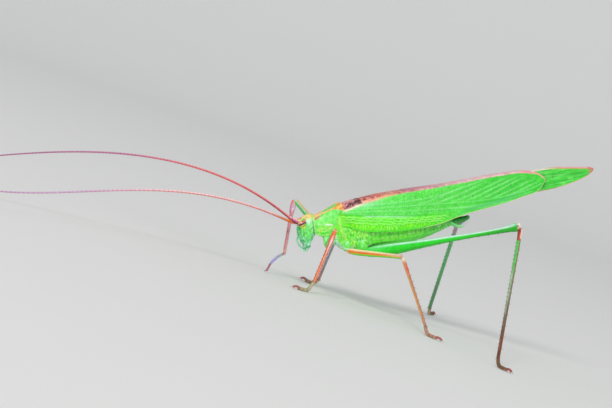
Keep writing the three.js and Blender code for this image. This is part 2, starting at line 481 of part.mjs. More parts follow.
for (const [name, leg] of Object.entries(LEGS)) {
  const kind = name.split('_')[0], side = name.endsWith('left') ? -1 : 1;
  const group = new THREE.Group();
  root.add(group);
  const tro = V(...leg.tro);
  const knee = tro.clone().add(V(...leg.knee).sub(tro).setLength(leg.fem));
  const shank = V(...leg.ankle).sub(knee);
  const ankle = kind === 'fore' && side > 0 ? V(...leg.ankle) : knee.clone().add(shank.setLength(leg.tib));
  const fd = knee.clone().sub(tro).normalize(), td = ankle.clone().sub(knee).normalize();
  const plane = fd.clone().cross(td).normalize();       // normal of the leg's plane
  const femUp = plane.clone().cross(fd).normalize();
  if (femUp.z < 0) femUp.negate();
  const tibUp = plane.clone().cross(td).normalize();

  // coxa and trochanter
  const inv = trunkTurn.clone().invert();
  const tb = tro.clone().applyMatrix4(inv), at = ATTACH[kind], r = COXA[kind];
  const hip = stand(V(tb.x + at[0], tb.y - side * at[1], tb.z + at[2]));
  const coxa = (grow = 0) => limb([[0, r[0]], [0.35, r[0]], [0.7, r[1]], [0.93, r[2]], [1.06, r[2] * 0.72]]
    .map(([t, w]) => ({ p: hip.clone().lerp(tro, t), w, h: w })), { sides: 8, grow, up: V(1, 0, 0) });
  const femur = (grow = 0) => straight(tro, knee, FEMUR[kind], { sides: kind === 'hind' ? 10 : 8, grow, up: femUp });
  const tibia = (grow = 0) => straight(knee.clone().addScaledVector(td, 0.1), ankle, TIBIA[kind], { sides: 6, grow, up: tibUp });
  const col = kind === 'hind' ? LEAF : kind === 'mid' ? ORANGE : side > 0 ? DEEP : ORANGE;
  piece(group, 'coxa_' + name, beside(coxa(), thoG, proG, ...abdG, headG), LIME, hip);
  piece(group, 'femur_' + name, beside(femur(), coxa(G), thoG, proG, ...abdG, ...wingsG), col, tro);
  piece(group, 'tibia_' + name, beside(tibia(), femur(G)), kind === 'hind' ? DEEP : PINK, knee);

  // foot: jointed pads flat on the floor, a slim last joint and two claws
  const toe = V(leg.toe[0], leg.toe[1], 0).normalize();
  const hang = kind === 'fore' && side > 0;
  const drop = ankle.z - FOOT_R;
  const at2 = (d, z) => V(ankle.x, ankle.y, 0).addScaledVector(toe, d).setZ(z);
  const rows = hang
    ? [[-0.02, ankle.z, 0.26, 0.26], [0.30, lerp(ankle.z, 0.2, 0.14), 0.28, 0.27], [0.72, lerp(ankle.z, 0.2, 0.32), 0.27, 0.26], [0.92, lerp(ankle.z, 0.2, 0.42), 0.32, 0.27],
      [1.22, lerp(ankle.z, 0.2, 0.56), 0.42, 0.27], [1.42, 1.25, 0.30, 0.26], [1.52, 0.80, 0.25, 0.25], [1.60, 0.30, 0.26, 0.26], [1.70, 0.0, 0.27, 0.26]]
    : [[-0.05, ankle.z, 0.25, 0.25], [0.22, lerp(ankle.z, FOOT_R, 0.45), 0.27, 0.26], [0.55, FOOT_R + 0.12, 0.30, 0.27], [0.95, FOOT_R - 0.03, 0.32, 0.27],
      [1.30, FOOT_R - 0.02, 0.30, 0.26], [1.60, FOOT_R - 0.03, 0.36, 0.27], [2.02, FOOT_R - 0.03, 0.44, 0.27], [2.25, FOOT_R + 0.04, 0.30, 0.26],
      [2.60, FOOT_R + 0.16, 0.25, 0.25], [3.05, FOOT_R + 0.10, 0.25, 0.25], [3.38, 0.16, 0.27, 0.25]];
  const foot = limb(rows.map(([d, z, w, h]) => ({ p: at2(d, z), w, h })), { sides: 6, floor: true, up: hang ? V(-toe.x, -toe.y, 0.4) : V(0, 0, 1) });
  piece(group, 'tarsus_' + name, beside(foot, tibia(G)), kind === 'hind' ? BROWN : PINK, ankle);
}

// ---------------------------------------------------------------- centring
// the origin is the middle of the whole animal's footprint, on the floor
root.updateMatrixWorld(true);
const box = new THREE.Box3().setFromObject(root, true);
root.position.set(-(box.min.x + box.max.x) / 2, -(box.min.y + box.max.y) / 2, -box.min.z);

export default root;
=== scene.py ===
import math
import bpy
import numpy as np
from mathutils import Matrix, Vector
from mathutils.bvhtree import BVHTree


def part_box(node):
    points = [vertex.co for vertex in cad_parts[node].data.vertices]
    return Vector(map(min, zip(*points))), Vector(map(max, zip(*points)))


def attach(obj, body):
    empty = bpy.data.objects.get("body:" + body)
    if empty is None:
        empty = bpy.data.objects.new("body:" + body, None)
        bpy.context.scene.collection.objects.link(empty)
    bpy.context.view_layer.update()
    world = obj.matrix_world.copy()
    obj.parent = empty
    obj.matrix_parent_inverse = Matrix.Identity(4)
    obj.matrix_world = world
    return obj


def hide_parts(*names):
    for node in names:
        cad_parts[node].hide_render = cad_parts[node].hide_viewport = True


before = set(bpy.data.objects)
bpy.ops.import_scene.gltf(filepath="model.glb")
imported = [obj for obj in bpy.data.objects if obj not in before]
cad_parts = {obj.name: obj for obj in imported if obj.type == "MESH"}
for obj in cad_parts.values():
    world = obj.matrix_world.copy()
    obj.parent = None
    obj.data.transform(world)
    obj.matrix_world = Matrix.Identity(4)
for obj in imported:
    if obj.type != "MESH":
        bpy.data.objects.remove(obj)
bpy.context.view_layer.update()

# ------------------------------------------------------------------ frame
# All shapes are laid out in millimetres. "Trunk" coordinates: x to the tail, y to the animal's
# right, z to its back. "Standing" coordinates: the trunk pitched head down, legs from joint to
# joint. SHIFT carries standing coordinates to the CAD frame.
PITCH = math.radians(27.98)
BODY_AT = np.array([5.18, -0.97, 11.26])
TURN = np.array([[math.cos(PITCH), 0, math.sin(PITCH)], [0, 1, 0], [-math.sin(PITCH), 0, math.cos(PITCH)]])
EYE_AT = np.array([-5.94, 1.22, -0.07])
EYE_R = (0.62, 0.41, 0.38)
EYE_TILT = math.radians(12)
EYE_UP = 0.0


def stand(P):
    return np.asarray(P, float) @ TURN + BODY_AT


def unstand(P):
    return (np.asarray(P, float) - BODY_AT) @ TURN.T


lo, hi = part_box("eye_left")
SHIFT = (np.array(lo) + np.array(hi)) * 500 - stand([EYE_AT[0], -EYE_AT[1], EYE_AT[2]])


# ------------------------------------------------------------------ numbers
def smooth(a, b, x):
    t = np.clip((np.asarray(x, float) - a) / (b - a), 0, 1)
    return t * t * (3 - 2 * t)


def bell(x, c, w):
    return np.exp(-((np.asarray(x, float) - c) / w) ** 2)


def lerp(a, b, t):
    return a + (b - a) * t


def curve(table):
    X = np.array([r[0] for r in table], float)
    Y = np.array([r[1] for r in table], float)
    h = np.diff(X)
    d = np.diff(Y) / h
    m = np.zeros(len(X))
    m[0], m[-1] = d[0], d[-1]
    for i in range(1, len(X) - 1):
        m[i] = 0 if d[i - 1] * d[i] <= 0 else 2 * d[i - 1] * d[i] / (d[i - 1] + d[i])

    def f(x):
        x = np.clip(np.asarray(x, float), X[0], X[-1])
        i = np.clip(np.searchsorted(X, x, side="right") - 1, 0, len(h) - 1)
        t = (x - X[i]) / h[i]
        return (Y[i] * (1 + 2 * t) * (1 - t) ** 2 + h[i] * m[i] * t * (1 - t) ** 2
                + Y[i + 1] * t * t * (3 - 2 * t) + h[i] * m[i + 1] * t * t * (t - 1))
    return f


def rope(pts, closed=False, per=16):
    """Centripetal Catmull-Rom polyline through the points."""
    P = np.asarray(pts, float)
    n = len(P)
    out = []
    t = np.linspace(0, 1, per, endpoint=False)[:, None]
    for i in range(n if closed else n - 1):
        p1, p2 = P[i], P[(i + 1) % n]
        p0 = P[(i - 1) % n] if closed or i > 0 else 2 * p1 - p2
        p3 = P[(i + 2) % n] if closed or i + 2 < n else 2 * p2 - p1
        d0, d1, d2 = (max(np.linalg.norm(b - a), 1e-9) ** 0.5 for a, b in ((p0, p1), (p1, p2), (p2, p3)))
        t1 = ((p1 - p0) / d0 - (p2 - p0) / (d0 + d1) + (p2 - p1) / d1) * d1
        t2 = ((p2 - p1) / d1 - (p3 - p1) / (d1 + d2) + (p3 - p2) / d2) * d1
        out.append(p1 + t1 * t + (3 * (p2 - p1) - 2 * t1 - t2) * t ** 2 + (2 * (p1 - p2) + t1 + t2) * t ** 3)
    out = np.concatenate(out)
    return np.concatenate([out, out[:1] if closed else P[-1:]])


def spaced(poly, n, closed=False):
    """n points at equal distances along a polyline."""
    s = np.concatenate([[0], np.cumsum(np.linalg.norm(np.diff(poly, axis=0), axis=1))])
    q = np.linspace(0, s[-1], n, endpoint=not closed)
    return np.stack([np.interp(q, s, poly[:, k]) for k in range(poly.shape[1])], -1)


def hashed(i, j, k, seed):
    n = (i.astype(np.int64) * 73856093) ^ (j.astype(np.int64) * 19349663) ^ (k.astype(np.int64) * 83492791) ^ (seed * 26544357)
    n = ((n ^ (n >> 13)) * 1274126177) & 0x7FFFFFFF
    n = ((n ^ (n >> 15)) * 668265263) & 0x7FFFFFFF
    return ((n ^ (n >> 11)) & 0xFFFF) / 65535.0


def noise(P, size, seed=0):
    """Smooth value noise, 0 to 1, with cells of the given size."""
    q = np.asarray(P, float) / size
    f = np.floor(q)
    t = q - f
    t = t * t * (3 - 2 * t)
    i, j, k = (f[..., a].astype(np.int64) for a in range(3))
    out = 0
    for a in (0, 1):
        for b in (0, 1):
            for c in (0, 1):
                w = (t[..., 0] if a else 1 - t[..., 0]) * (t[..., 1] if b else 1 - t[..., 1]) * (t[..., 2] if c else 1 - t[..., 2])
                out = out + w * hashed(i + a, j + b, k + c, seed)
    return out


def cells(P, size, seed=0):
    """Distance to the borders of an irregular net of cells, in the units of size."""
    q = np.asarray(P, float) / size
    f = np.floor(q).astype(np.int64)
    d1 = np.full(q.shape[:-1], 9.0)
    d2 = d1.copy()
    for a in (-1, 0, 1):
        for b in (-1, 0, 1):
            for c in (-1, 0, 1):
                i, j, k = f[..., 0] + a, f[..., 1] + b, f[..., 2] + c
                d = np.sqrt((q[..., 0] - i - hashed(i, j, k, seed)) ** 2 + (q[..., 1] - j - hashed(i, j, k, seed + 7)) ** 2 + (q[..., 2] - k - hashed(i, j, k, seed + 13)) ** 2)
                d2 = np.where(d < d1, d1, np.minimum(d2, d))
                d1 = np.minimum(d1, d)
    return (d2 - d1) * size


def to_line(x, z, poly):
    """Distance of points to a polyline in a plane, and how far along it (0 to 1)."""
    P = np.asarray(poly, float)
    best = np.full(np.shape(x), 1e9)
    along = np.zeros(np.shape(x))
    n = len(P) - 1
    for i in range(n):
        ax, az = P[i]
        dx, dz = P[i + 1] - P[i]
        t = np.clip(((x - ax) * dx + (z - az) * dz) / (dx * dx + dz * dz + 1e-12), 0, 1)
        d = np.hypot(x - ax - t * dx, z - az - t * dz)
        m = d < best
        best = np.where(m, d, best)
        along = np.where(m, (i + t) / n, along)
    return best, along


def rgb(r, g, b):
    c = np.array([r, g, b], float) / 255
    return np.where(c <= 0.04045, c / 12.92, ((c + 0.055) / 1.055) ** 2.4)


def blend(col, other, k):
    k = np.asarray(k, float)[..., None]
    return col * (1 - k) + np.asarray(other) * k


# ------------------------------------------------------------------ meshes
def join(parts):
    """Several (V, Q, T, A) bodies as one; A is a dict of per-point arrays."""
    V, Q, T, A = [], [], [], {}
    n = 0
    for v, q, t, a in parts:
        V.append(v)
        Q.append(q + n)
        T.append(t + n)
        n += len(v)
        for k in a:
            A.setdefault(k, []).append(np.asarray(a[k], float))
    return np.concatenate(V), np.concatenate(Q), np.concatenate(T), {k: np.concatenate(A[k]) for k in A}


def volume(V, Q, T):
    F = np.concatenate([Q[:, [0, 1, 2]], Q[:, [0, 2, 3]], T]) if len(T) else np.concatenate([Q[:, [0, 1, 2]], Q[:, [0, 2, 3]]])
    return np.einsum("ij,ij->i", V[F[:, 0]], np.cross(V[F[:, 1]], V[F[:, 2]])).sum()


def loft(R, attrs=None):
    """A closed body from rings R (m, n, 3); attrs are (m, n, ...) arrays."""
    m, n, _ = R.shape
    idx = np.arange(m * n).reshape(m, n)
    Q = np.stack([idx[:-1], np.roll(idx, -1, 1)[:-1], np.roll(idx, -1, 1)[1:], idx[1:]], -1).reshape(-1, 4)
    V = np.concatenate([R.reshape(-1, 3), R[:1].mean(1), R[-1:].mean(1)])
    a, b = idx[0], idx[-1]
    T = np.concatenate([np.stack([np.full(n, m * n), np.roll(a, -1), a], -1), np.stack([np.full(n, m * n + 1), b, np.roll(b, -1)], -1)])
    A = {}
    for k, v in (attrs or {}).items():
        A[k] = np.concatenate([v.reshape((m * n,) + v.shape[2:]), v[:1].mean(1), v[-1:].mean(1)])
    if volume(V, Q, T) < 0:
        Q, T = Q[:, ::-1], T[:, ::-1]
    return V, Q, T, A


def limb(P, w, h, up, n=24, power=2.0, bump=None, side_sign=1):
    """A body of oval section along the points P, half widths w and h, with the height towards up.
    Attributes: t along, c towards the side, s towards the top. bump(t, c, s) pushes the skin out."""
    P = np.asarray(P, float)
    m = len(P)
    tan = np.gradient(P, axis=0)
    tan /= np.linalg.norm(tan, axis=1)[:, None]
    up = np.broadcast_to(np.asarray(up, float), P.shape)
    side = np.cross(tan, up)
    side /= np.linalg.norm(side, axis=1)[:, None]
    top = np.cross(side, tan)
    side = side * side_sign
    q = (np.arange(n) + 0.5) * 2 * np.pi / n
    pw = 2 / np.broadcast_to(power, (m,))[:, None]
    c = np.sign(np.cos(q)) * np.abs(np.cos(q))[None, :] ** pw
    s = np.sign(np.sin(q)) * np.abs(np.sin(q))[None, :] ** pw
    seg = np.concatenate([[0], np.cumsum(np.linalg.norm(np.diff(P, axis=0), axis=1))])
    t = np.broadcast_to((seg / seg[-1])[:, None], (m, n))
    W = np.broadcast_to(w, (m,))[:, None] * c
    H = np.broadcast_to(h, (m,))[:, None] * s
    if bump is not None:
        k = bump(t, c, s)
        r = np.hypot(W, H) + 1e-9
        W, H = W * (1 + k / r), H * (1 + k / r)
    R = P[:, None] + side[:, None] * W[..., None] + top[:, None] * H[..., None]
    return loft(R, {"t": t, "c": c + 0 * t, "s": s + 0 * t})


def rounded(n, a=0.06, b=0.06, k=5):
    """Stations 0 to 1 with dome-shaped ends: positions and a factor for the widths."""
    q = np.linspace(0, np.pi / 2, k + 1)[:-1]
    t = np.concatenate([a * (1 - np.cos(q)), np.linspace(a, 1 - b, n), 1 - b * (1 - np.cos(q[::-1]))])
    f = np.concatenate([np.maximum(np.sin(q), 0.02), np.ones(n), np.maximum(np.sin(q[::-1]), 0.02)])
    return t, f


def cone(base, tip, r, n=7, bend=None):
    """A slim curved spine."""
    base, tip = np.asarray(base, float), np.asarray(tip, float)
    t = np.array([0, 0.3, 0.6, 0.85, 1.0])
    P = base + (tip - base) * t[:, None]
    if bend is not None:
        P = P + np.asarray(bend, float) * (np.sin(t * np.pi / 2) ** 2)[:, None] * 0.5
    up = np.array([0.31, 0.23, 0.92])
    return limb(P, r * np.array([1, 0.82, 0.56, 0.28, 0.05]), r * np.array([1, 0.82, 0.56, 0.28, 0.05]), up, n=n)


ROOT = []


def make(name, body, mat, tone, nodes, trunk=True, extra=None, flat=False):
    """Turns a body into a piece that stands for the CAD nodes."""
    V, Q, T, A = body
    P = stand(V) if trunk else V
    if volume(V, Q, T) < 0:
        Q, T = Q[:, ::-1], T[:, ::-1]
    me = bpy.data.meshes.new(name)
    me.from_pydata(((P + SHIFT) / 1000).tolist(), [], Q.tolist() + T.tolist())
    me.polygons.foreach_set("use_smooth", np.full(len(me.polygons), not flat))
    rgba = np.ones((len(V), 4), np.float32)
    grey = (tone @ np.array([0.25, 0.65, 0.10]))[:, None]
    rgba[:, :3] = np.clip(grey + (tone - grey) * 1.16 - 0.006, 0.004, 1)
    me.attributes.new("tone", "FLOAT_COLOR", "POINT").data.foreach_set("color", rgba.ravel())
    me.attributes.new("place", "FLOAT_VECTOR", "POINT").data.foreach_set("vector", np.asarray(V, np.float32).ravel())
    for k, v in (extra or {}).items():
        me.attributes.new(k, "FLOAT", "POINT").data.foreach_set("value", np.asarray(v, np.float32).ravel())
    me.materials.append(mat)
    me.update()
    ob = bpy.data.objects.new(name, me)
    bpy.context.scene.collection.objects.link(ob)
    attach(ob, "root")
    if nodes:
        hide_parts(*nodes)
    ROOT.append(ob)
    return ob


# ------------------------------------------------------------------ materials
def surface(name, rough=0.42, grain=14.0, grain_tone=0.10, blotch=1.6, blotch_tone=0.10, bump=0.35, depth=6e-6,
            net=None, net_tone=0.0, coat=0.0, coat_rough=0.18, sheen=0.0, fleck=0.0, fleck_tone=(0.85, 0.95, 0.9), glow=0.0, spec=0.5, pits=0.0):
    """Skin-like material: the tone attribute, blotches and grain over it, flecks, a cell net, and relief."""
    m = bpy.data.materials.new(name)
    m.use_nodes = True
    nt = m.node_tree
    nt.nodes.clear()
    N = lambda kind, **kw: _node(nt, kind, kw)
    L = nt.links.new
    out = N("ShaderNodeOutputMaterial")
    bs = N("ShaderNodeBsdfPrincipled")
    L(bs.outputs[0], out.inputs[0])
    tone = N("ShaderNodeAttribute", attribute_name="tone")
    place = N("ShaderNodeAttribute", attribute_name="place")
    P = place.outputs["Vector"]

    def tex(scale, detail=3.0, rough_=0.55):
        t = N("ShaderNodeTexNoise")
        t.inputs["Scale"].default_value = scale
        t.inputs["Detail"].default_value = detail
        t.inputs["Roughness"].default_value = rough_
        L(P, t.inputs["Vector"])
        return t.outputs["Fac"]

    def fac(value, a, b, lo_, hi_):
        r = N("ShaderNodeMapRange")
        r.inputs["From Min"].default_value = a
        r.inputs["From Max"].default_value = b
        r.inputs["To Min"].default_value = lo_
        r.inputs["To Max"].default_value = hi_
        L(value, r.inputs["Value"])
        return r.outputs[0]

    def scale_by(color, f):
        v = N("ShaderNodeVectorMath", operation="SCALE")
        L(color, v.inputs[0])
        L(f, v.inputs["Scale"])
        return v.outputs[0]

    col = tone.outputs["Color"]
    b1 = tex(blotch, 2.0)
    col = scale_by(col, fac(b1, 0.3, 0.7, 1 - blotch_tone, 1 + blotch_tone))
    g1 = tex(grain, 4.0, 0.6)
    col = scale_by(col, fac(g1, 0.3, 0.7, 1 - grain_tone, 1 + grain_tone))
    height = g1
    if fleck:
        v = N("ShaderNodeTexVoronoi")
        v.inputs["Scale"].default_value = 5.5
        v.inputs["Randomness"].default_value = 1.0
        L(P, v.inputs["Vector"])
        near = fac(v.outputs["Distance"], 0.10, 0.28, 1.0, 0.0)
        where = fac(tex(1.3, 2.0), 0.48, 0.62, 0.0, fleck)
        mul = N("ShaderNodeMath", operation="MULTIPLY")
        L(near, mul.inputs[0])
        L(where, mul.inputs[1])
        mask = N("ShaderNodeAttribute", attribute_name="fleck")
        mul2 = N("ShaderNodeMath", operation="MULTIPLY")
        L(mul.outputs[0], mul2.inputs[0])
        L(mask.outputs["Fac"], mul2.inputs[1])
        mx = N("ShaderNodeMix", data_type="RGBA")
        L(mul2.outputs[0], mx.inputs[0])
        L(col, mx.inputs[6])
        mx.inputs[7].default_value = (*fleck_tone, 1)
        col = mx.outputs[2]
    if net:
        v = N("ShaderNodeTexVoronoi", feature="DISTANCE_TO_EDGE")
        v.inputs["Scale"].default_value = net
        v.inputs["Randomness"].default_value = 0.85
        L(P, v.inputs["Vector"])
        edge = fac(v.outputs["Distance"], 0.0, 0.14, 1.0, 0.0)
        mask = N("ShaderNodeAttribute", attribute_name="net")
        mul = N("ShaderNodeMath", operation="MULTIPLY")
        L(edge, mul.inputs[0])
        L(mask.outputs["Fac"], mul.inputs[1])
        col = scale_by(col, fac(mul.outputs[0], 0.0, 1.0, 1.0, 1.0 + net_tone))
        add = N("ShaderNodeMath", operation="MULTIPLY_ADD")
        L(mul.outputs[0], add.inputs[0])
        add.inputs[1].default_value = 0.9
        L(height, add.inputs[2])
        height = add.outputs[0]
    if pits:
        v = N("ShaderNodeTexVoronoi")
        v.inputs["Scale"].default_value = 9.0
        L(P, v.inputs["Vector"])
        add = N("ShaderNodeMath", operation="MULTIPLY_ADD")
        L(fac(v.outputs["Distance"], 0.0, 0.4, 0.0, 1.0), add.inputs[0])
        add.inputs[1].default_value = pits
        L(height, add.inputs[2])
        height = add.outputs[0]
    L(col, bs.inputs["Base Color"])
    if glow:
        bs.inputs["Subsurface Weight"].default_value = glow
        bs.inputs["Subsurface Radius"].default_value = (0.6, 1.0, 0.3)
        bs.inputs["Subsurface Scale"].default_value = 0.00035
    L(fac(g1, 0.25, 0.75, rough - 0.07, rough + 0.09), bs.inputs["Roughness"])
    bs.inputs["Specular IOR Level"].default_value = spec
    if coat:
        bs.inputs["Coat Weight"].default_value = coat
        bs.inputs["Coat Roughness"].default_value = coat_rough
    if sheen:
        bs.inputs["Sheen Weight"].default_value = sheen
    bp = N("ShaderNodeBump")
    bp.inputs["Strength"].default_value = bump
    bp.inputs["Distance"].default_value = depth
    L(height, bp.inputs["Height"])
    L(bp.outputs[0], bs.inputs["Normal"])
    return m


def _node(nt, kind, kw):
    n = nt.nodes.new(kind)
    for k, v in kw.items():
        setattr(n, k, v)
    return n


M_SKIN = surface("cuticle", rough=0.40, grain=11, grain_tone=0.13, blotch=1.9, blotch_tone=0.12, bump=0.55, depth=2.2e-5, fleck=0.35, coat=0.12, glow=0.12, pits=0.5)
M_LEG = surface("leg_cuticle", rough=0.34, grain=16, grain_tone=0.09, blotch=1.4, blotch_tone=0.08, bump=0.4, depth=1.2e-5, coat=0.25, glow=0.08)
M_FOOT = surface("foot_cuticle", rough=0.5, grain=18, grain_tone=0.14, blotch=3, blotch_tone=0.12, bump=0.6, depth=1.6e-5)
M_WING = surface("forewing", rough=0.42, grain=9, grain_tone=0.05, blotch=0.8, blotch_tone=0.07, bump=0.5, depth=2.0e-5, net=3.1, net_tone=0.16, glow=0.10)
M_HIND = surface("hindwing", rough=0.42, grain=10, grain_tone=0.08, blotch=1.0, blotch_tone=0.10, bump=0.45, depth=1.6e-5, net=2.2, net_tone=0.10, glow=0.1)
M_FEELER = surface("feeler", rough=0.45, grain=20, grain_tone=0.10, blotch=2.2, blotch_tone=0.10, bump=0.5, depth=1.0e-5)
M_MOUTH = surface("mouthpart", rough=0.36, grain=14, grain_tone=0.12, blotch=3, blotch_tone=0.12, bump=0.5, depth=1.6e-5, fleck=0.9, coat=0.2, glow=0.12)
M_EYE = surface("eye_facets", rough=0.16, grain=30, grain_tone=0.08, blotch=5, blotch_tone=0.12, bump=0.35, depth=8e-6, net=16, net_tone=-0.22, coat=1.0, coat_rough=0.07, spec=0.6)

GREEN = rgb(108, 232, 96)
LIME = rgb(128, 244, 84)
MINT = rgb(126, 236, 122)
YELLOWG = rgb(165, 250, 70)
DEEPG = rgb(66, 186, 74)
PINK = rgb(205, 128, 140)
SALMON = rgb(232, 140, 96)
ORANGE = rgb(244, 166, 74)
CREAM = rgb(240, 226, 176)
TEAL = rgb(86, 196, 140)
CYANW = rgb(196, 244, 226)
BROWN = rgb(92, 52, 46)
DARKRED = rgb(110, 44, 34)

# ------------------------------------------------------------------ trunk skin
PRO = {
    "top": curve([[-4.36, 0.56], [-4.0, 0.66], [-3.1, 0.86], [-1.9, 1.22], [-0.9, 1.58], [-0.1, 1.80], [0.5, 1.72]]),
    "ridge": curve([[-4.36, 0.72], [-2.5, 0.90], [-1.0, 1.12], [0.1, 1.26], [0.5, 1.05]]),
    "side": curve([[-4.36, 1.20], [-4.0, 1.30], [-3.2, 1.46], [-2.0, 1.56], [-0.6, 1.58], [0.5, 1.25]]),
    "low": curve([[-4.36, -1.40], [-4.2, -1.84], [-3.95, -2.16], [-3.4, -2.38], [-2.6, -2.42], [-1.9, -2.08], [-1.4, -1.50], [-1.0, -0.60], [-0.6, 0.40], [0.5, 1.10]]),
}
HEAD = np.array([
    [-5.80, 0.70, -4.75, 1.02, 0.22], [-6.28, 0.36, -4.35, 0.98, 0.52], [-6.46, 0.12, -3.95, 0.78, 0.86],
    [-6.42, -0.16, -3.72, 0.30, 1.14], [-6.50, -0.52, -3.66, -0.20, 1.26], [-6.62, -1.02, -3.66, -0.74, 1.30],
    [-6.66, -1.62, -3.84, -1.34, 1.31], [-6.54, -2.24, -4.22, -2.02, 1.24], [-6.34, -2.72, -4.60, -2.62, 1.08],
    [-6.14, -3.06, -4.90, -3.08, 0.86], [-5.95, -3.26, -5.14, -3.30, 0.55]])
THO = {
    "top": curve([[-3.5, 0.0], [-0.8, 0.9], [0.6, 1.25], [3.4, 1.15]]),
    "low": curve([[-3.5, -2.3], [-2.9, -2.85], [-2.1, -3.55], [-1.2, -4.44], [-0.6, -4.88], [0.0, -5.12], [1.2, -5.32], [2.6, -5.40], [3.4, -5.38]]),
    "wide": curve([[-3.5, 0.95], [-2.5, 1.10], [-1.2, 1.45], [0.5, 1.72], [2.2, 1.78], [3.4, 1.62]]),
}
ABD = {
    "top": curve([[3.3, 0.55], [6, 0.20], [10, -0.35], [12.5, -1.20], [14.4, -2.20], [15.2, -2.9]]),
    "low": curve([[3.3, -5.38], [5, -5.44], [7.5, -5.40], [10.7, -5.18], [12.5, -4.80], [14.2, -4.34], [15.2, -4.05]]),
    "wide": curve([[3.3, 1.50], [7, 1.50], [11, 1.34], [13.4, 1.10], [15.2, 0.78]]),
}
INSET = 0.03


def section(x, half, n):
    pts = [*half, *[[-y, z] for y, z in half[1:-1][::-1]]]
    ring = spaced(rope(pts, True, 10), n, True)
    mid = ring.mean(0)
    d = ring - mid
    ring = mid + d * (1 - INSET / np.maximum(np.linalg.norm(d, axis=1), 0.1))[:, None]
    return np.column_stack([np.full(n, x), ring])


def pronotum_body():
    R = []
    for x, k in [(-4.36, 0.80), (-4.35, 0.90), (-4.31, 0.96), *[(x, 1.0) for x in np.linspace(-4.24, 0.02, 60)], (0.07, 0.975), (0.10, 0.93)]:
        t, c, w, l = (PRO[n](x) for n in ("top", "ridge", "side", "low"))
        mid = (t + l) / 2
        f = lambda y, z: [y * k, mid + (z - mid) * k]
        R.append(section(x, [f(0, t), f(c * 0.55, t - 0.01), f(c, t - 0.07), f(lerp(c, w, 0.7), lerp(t, l, 0.16)), f(w, lerp(t, l, 0.5)),
                             f(w * 0.97, lerp(t, l, 0.85)), f(w * 0.80, l), f(w * 0.45, lerp(l, t, 0.08)), f(0, lerp(l, t, 0.10))], 120))
    return loft(np.array(R))


def head_body():
    rows = [curve(np.column_stack([np.arange(11), HEAD[:, k]]).tolist()) for k in range(5)]
    R = []
    n = 110
    q = np.arange(n) * 2 * np.pi / n
    e = 2 / 2.35
    c, s = np.sign(np.cos(q)) * np.abs(np.cos(q)) ** e, np.sign(np.sin(q)) * np.abs(np.sin(q)) ** e
    for v in np.linspace(0, 10, 90):
        fx, fz, bx, bz, w = (float(r(v)) for r in rows)
        k = 1 - 0.02 if 0.2 < v < 9.8 else 0.9
        R.append(np.column_stack([(fx + bx) / 2 + (fx - bx) / 2 * c * k, s * w * k, (fz + bz) / 2 + (fz - bz) / 2 * c * k]))
    return loft(np.array(R))


def thorax_body():
    R = []
    for x in np.linspace(-3.45, 3.4, 80):
        t, l, w = (THO[n](x) for n in ("top", "low", "wide"))
        R.append(section(x, [[0, t], [w * 0.72, t - 0.22], [w * 0.93, lerp(t, l, 0.3)], [w, lerp(t, l, 0.62)], [w * 0.90, lerp(t, l, 0.86)], [w * 0.5, lerp(t, l, 0.985)], [0, l]], 120))
    return loft(np.array(R))


def abdomen_body():
    R = []
    for x in [*np.linspace(3.2, 15.2, 110), 15.28, 15.33]:
        t, l, w = (ABD[n](x) for n in ("top", "low", "wide"))
        k = 1 if x <= 15.2 else 0.9 if x < 15.3 else 0.72
        mid = (t + l) / 2
        f = lambda y, z: [y * k, mid + (z - mid) * k]
        R.append(section(x, [f(0, t), f(w * 0.62, lerp(t, l, 0.05)), f(w * 0.96, lerp(t, l, 0.32)), f(w, lerp(t, l, 0.62)), f(w * 0.82, lerp(t, l, 0.88)), f(w * 0.40, lerp(t, l, 0.99)), f(0, l)], 110))
    return loft(np.array(R))


# ------------------------------------------------------------------ legs: joints
FEM = {"fore": 7.3, "mid": 8.7, "hind": 22.8}
TIB = {"fore": 7.9, "mid": 10.6, "hind": 20.4}
FOOT_R = 0.27
LEGS = {
    "fore_left": ([4.27, -2.37, 6.54], [3.39, -8.88, 9.24], [3.27, -7.23, 1.51], [-0.86, -0.50]),
    "fore_right": ([4.68, 0.75, 7.31], [-1.60, 1.84, 11.12], [-0.31, 1.46, 3.34], [-0.90, 0.43]),
    "mid_left": ([7.12, -2.69, 6.82], [13.73, -7.98, 8.83], [18.89, -12.94, 1.05], [0.62, -0.78]),
    "mid_right": ([7.41, 0.74, 7.17], [7.65, 8.42, 11.24], [6.49, 5.95, 1.05], [-0.60, 0.80]),
    "hind_left": ([9.51, -2.91, 7.38], [26.79, -13.16, 18.15], [26.70, -24.35, 1.10], [0.45, -0.89]),
    "hind_right": ([9.94, 0.91, 7.60], [24.77, 13.22, 19.77], [27.15, 21.03, 1.10], [0.52, 0.85]),
}
COXA = {"fore": (0.48, 0.42, 0.38), "mid": (0.72, 0.62, 0.44), "hind": (0.92, 0.84, 0.60)}
ATTACH = {"fore": (0.25, 0.62, 1.15), "mid": (0.30, 0.75, 1.10), "hind": (-0.15, 0.85, 1.20)}


def unit(v):
    v = np.asarray(v, float)
    return v / np.linalg.norm(v)


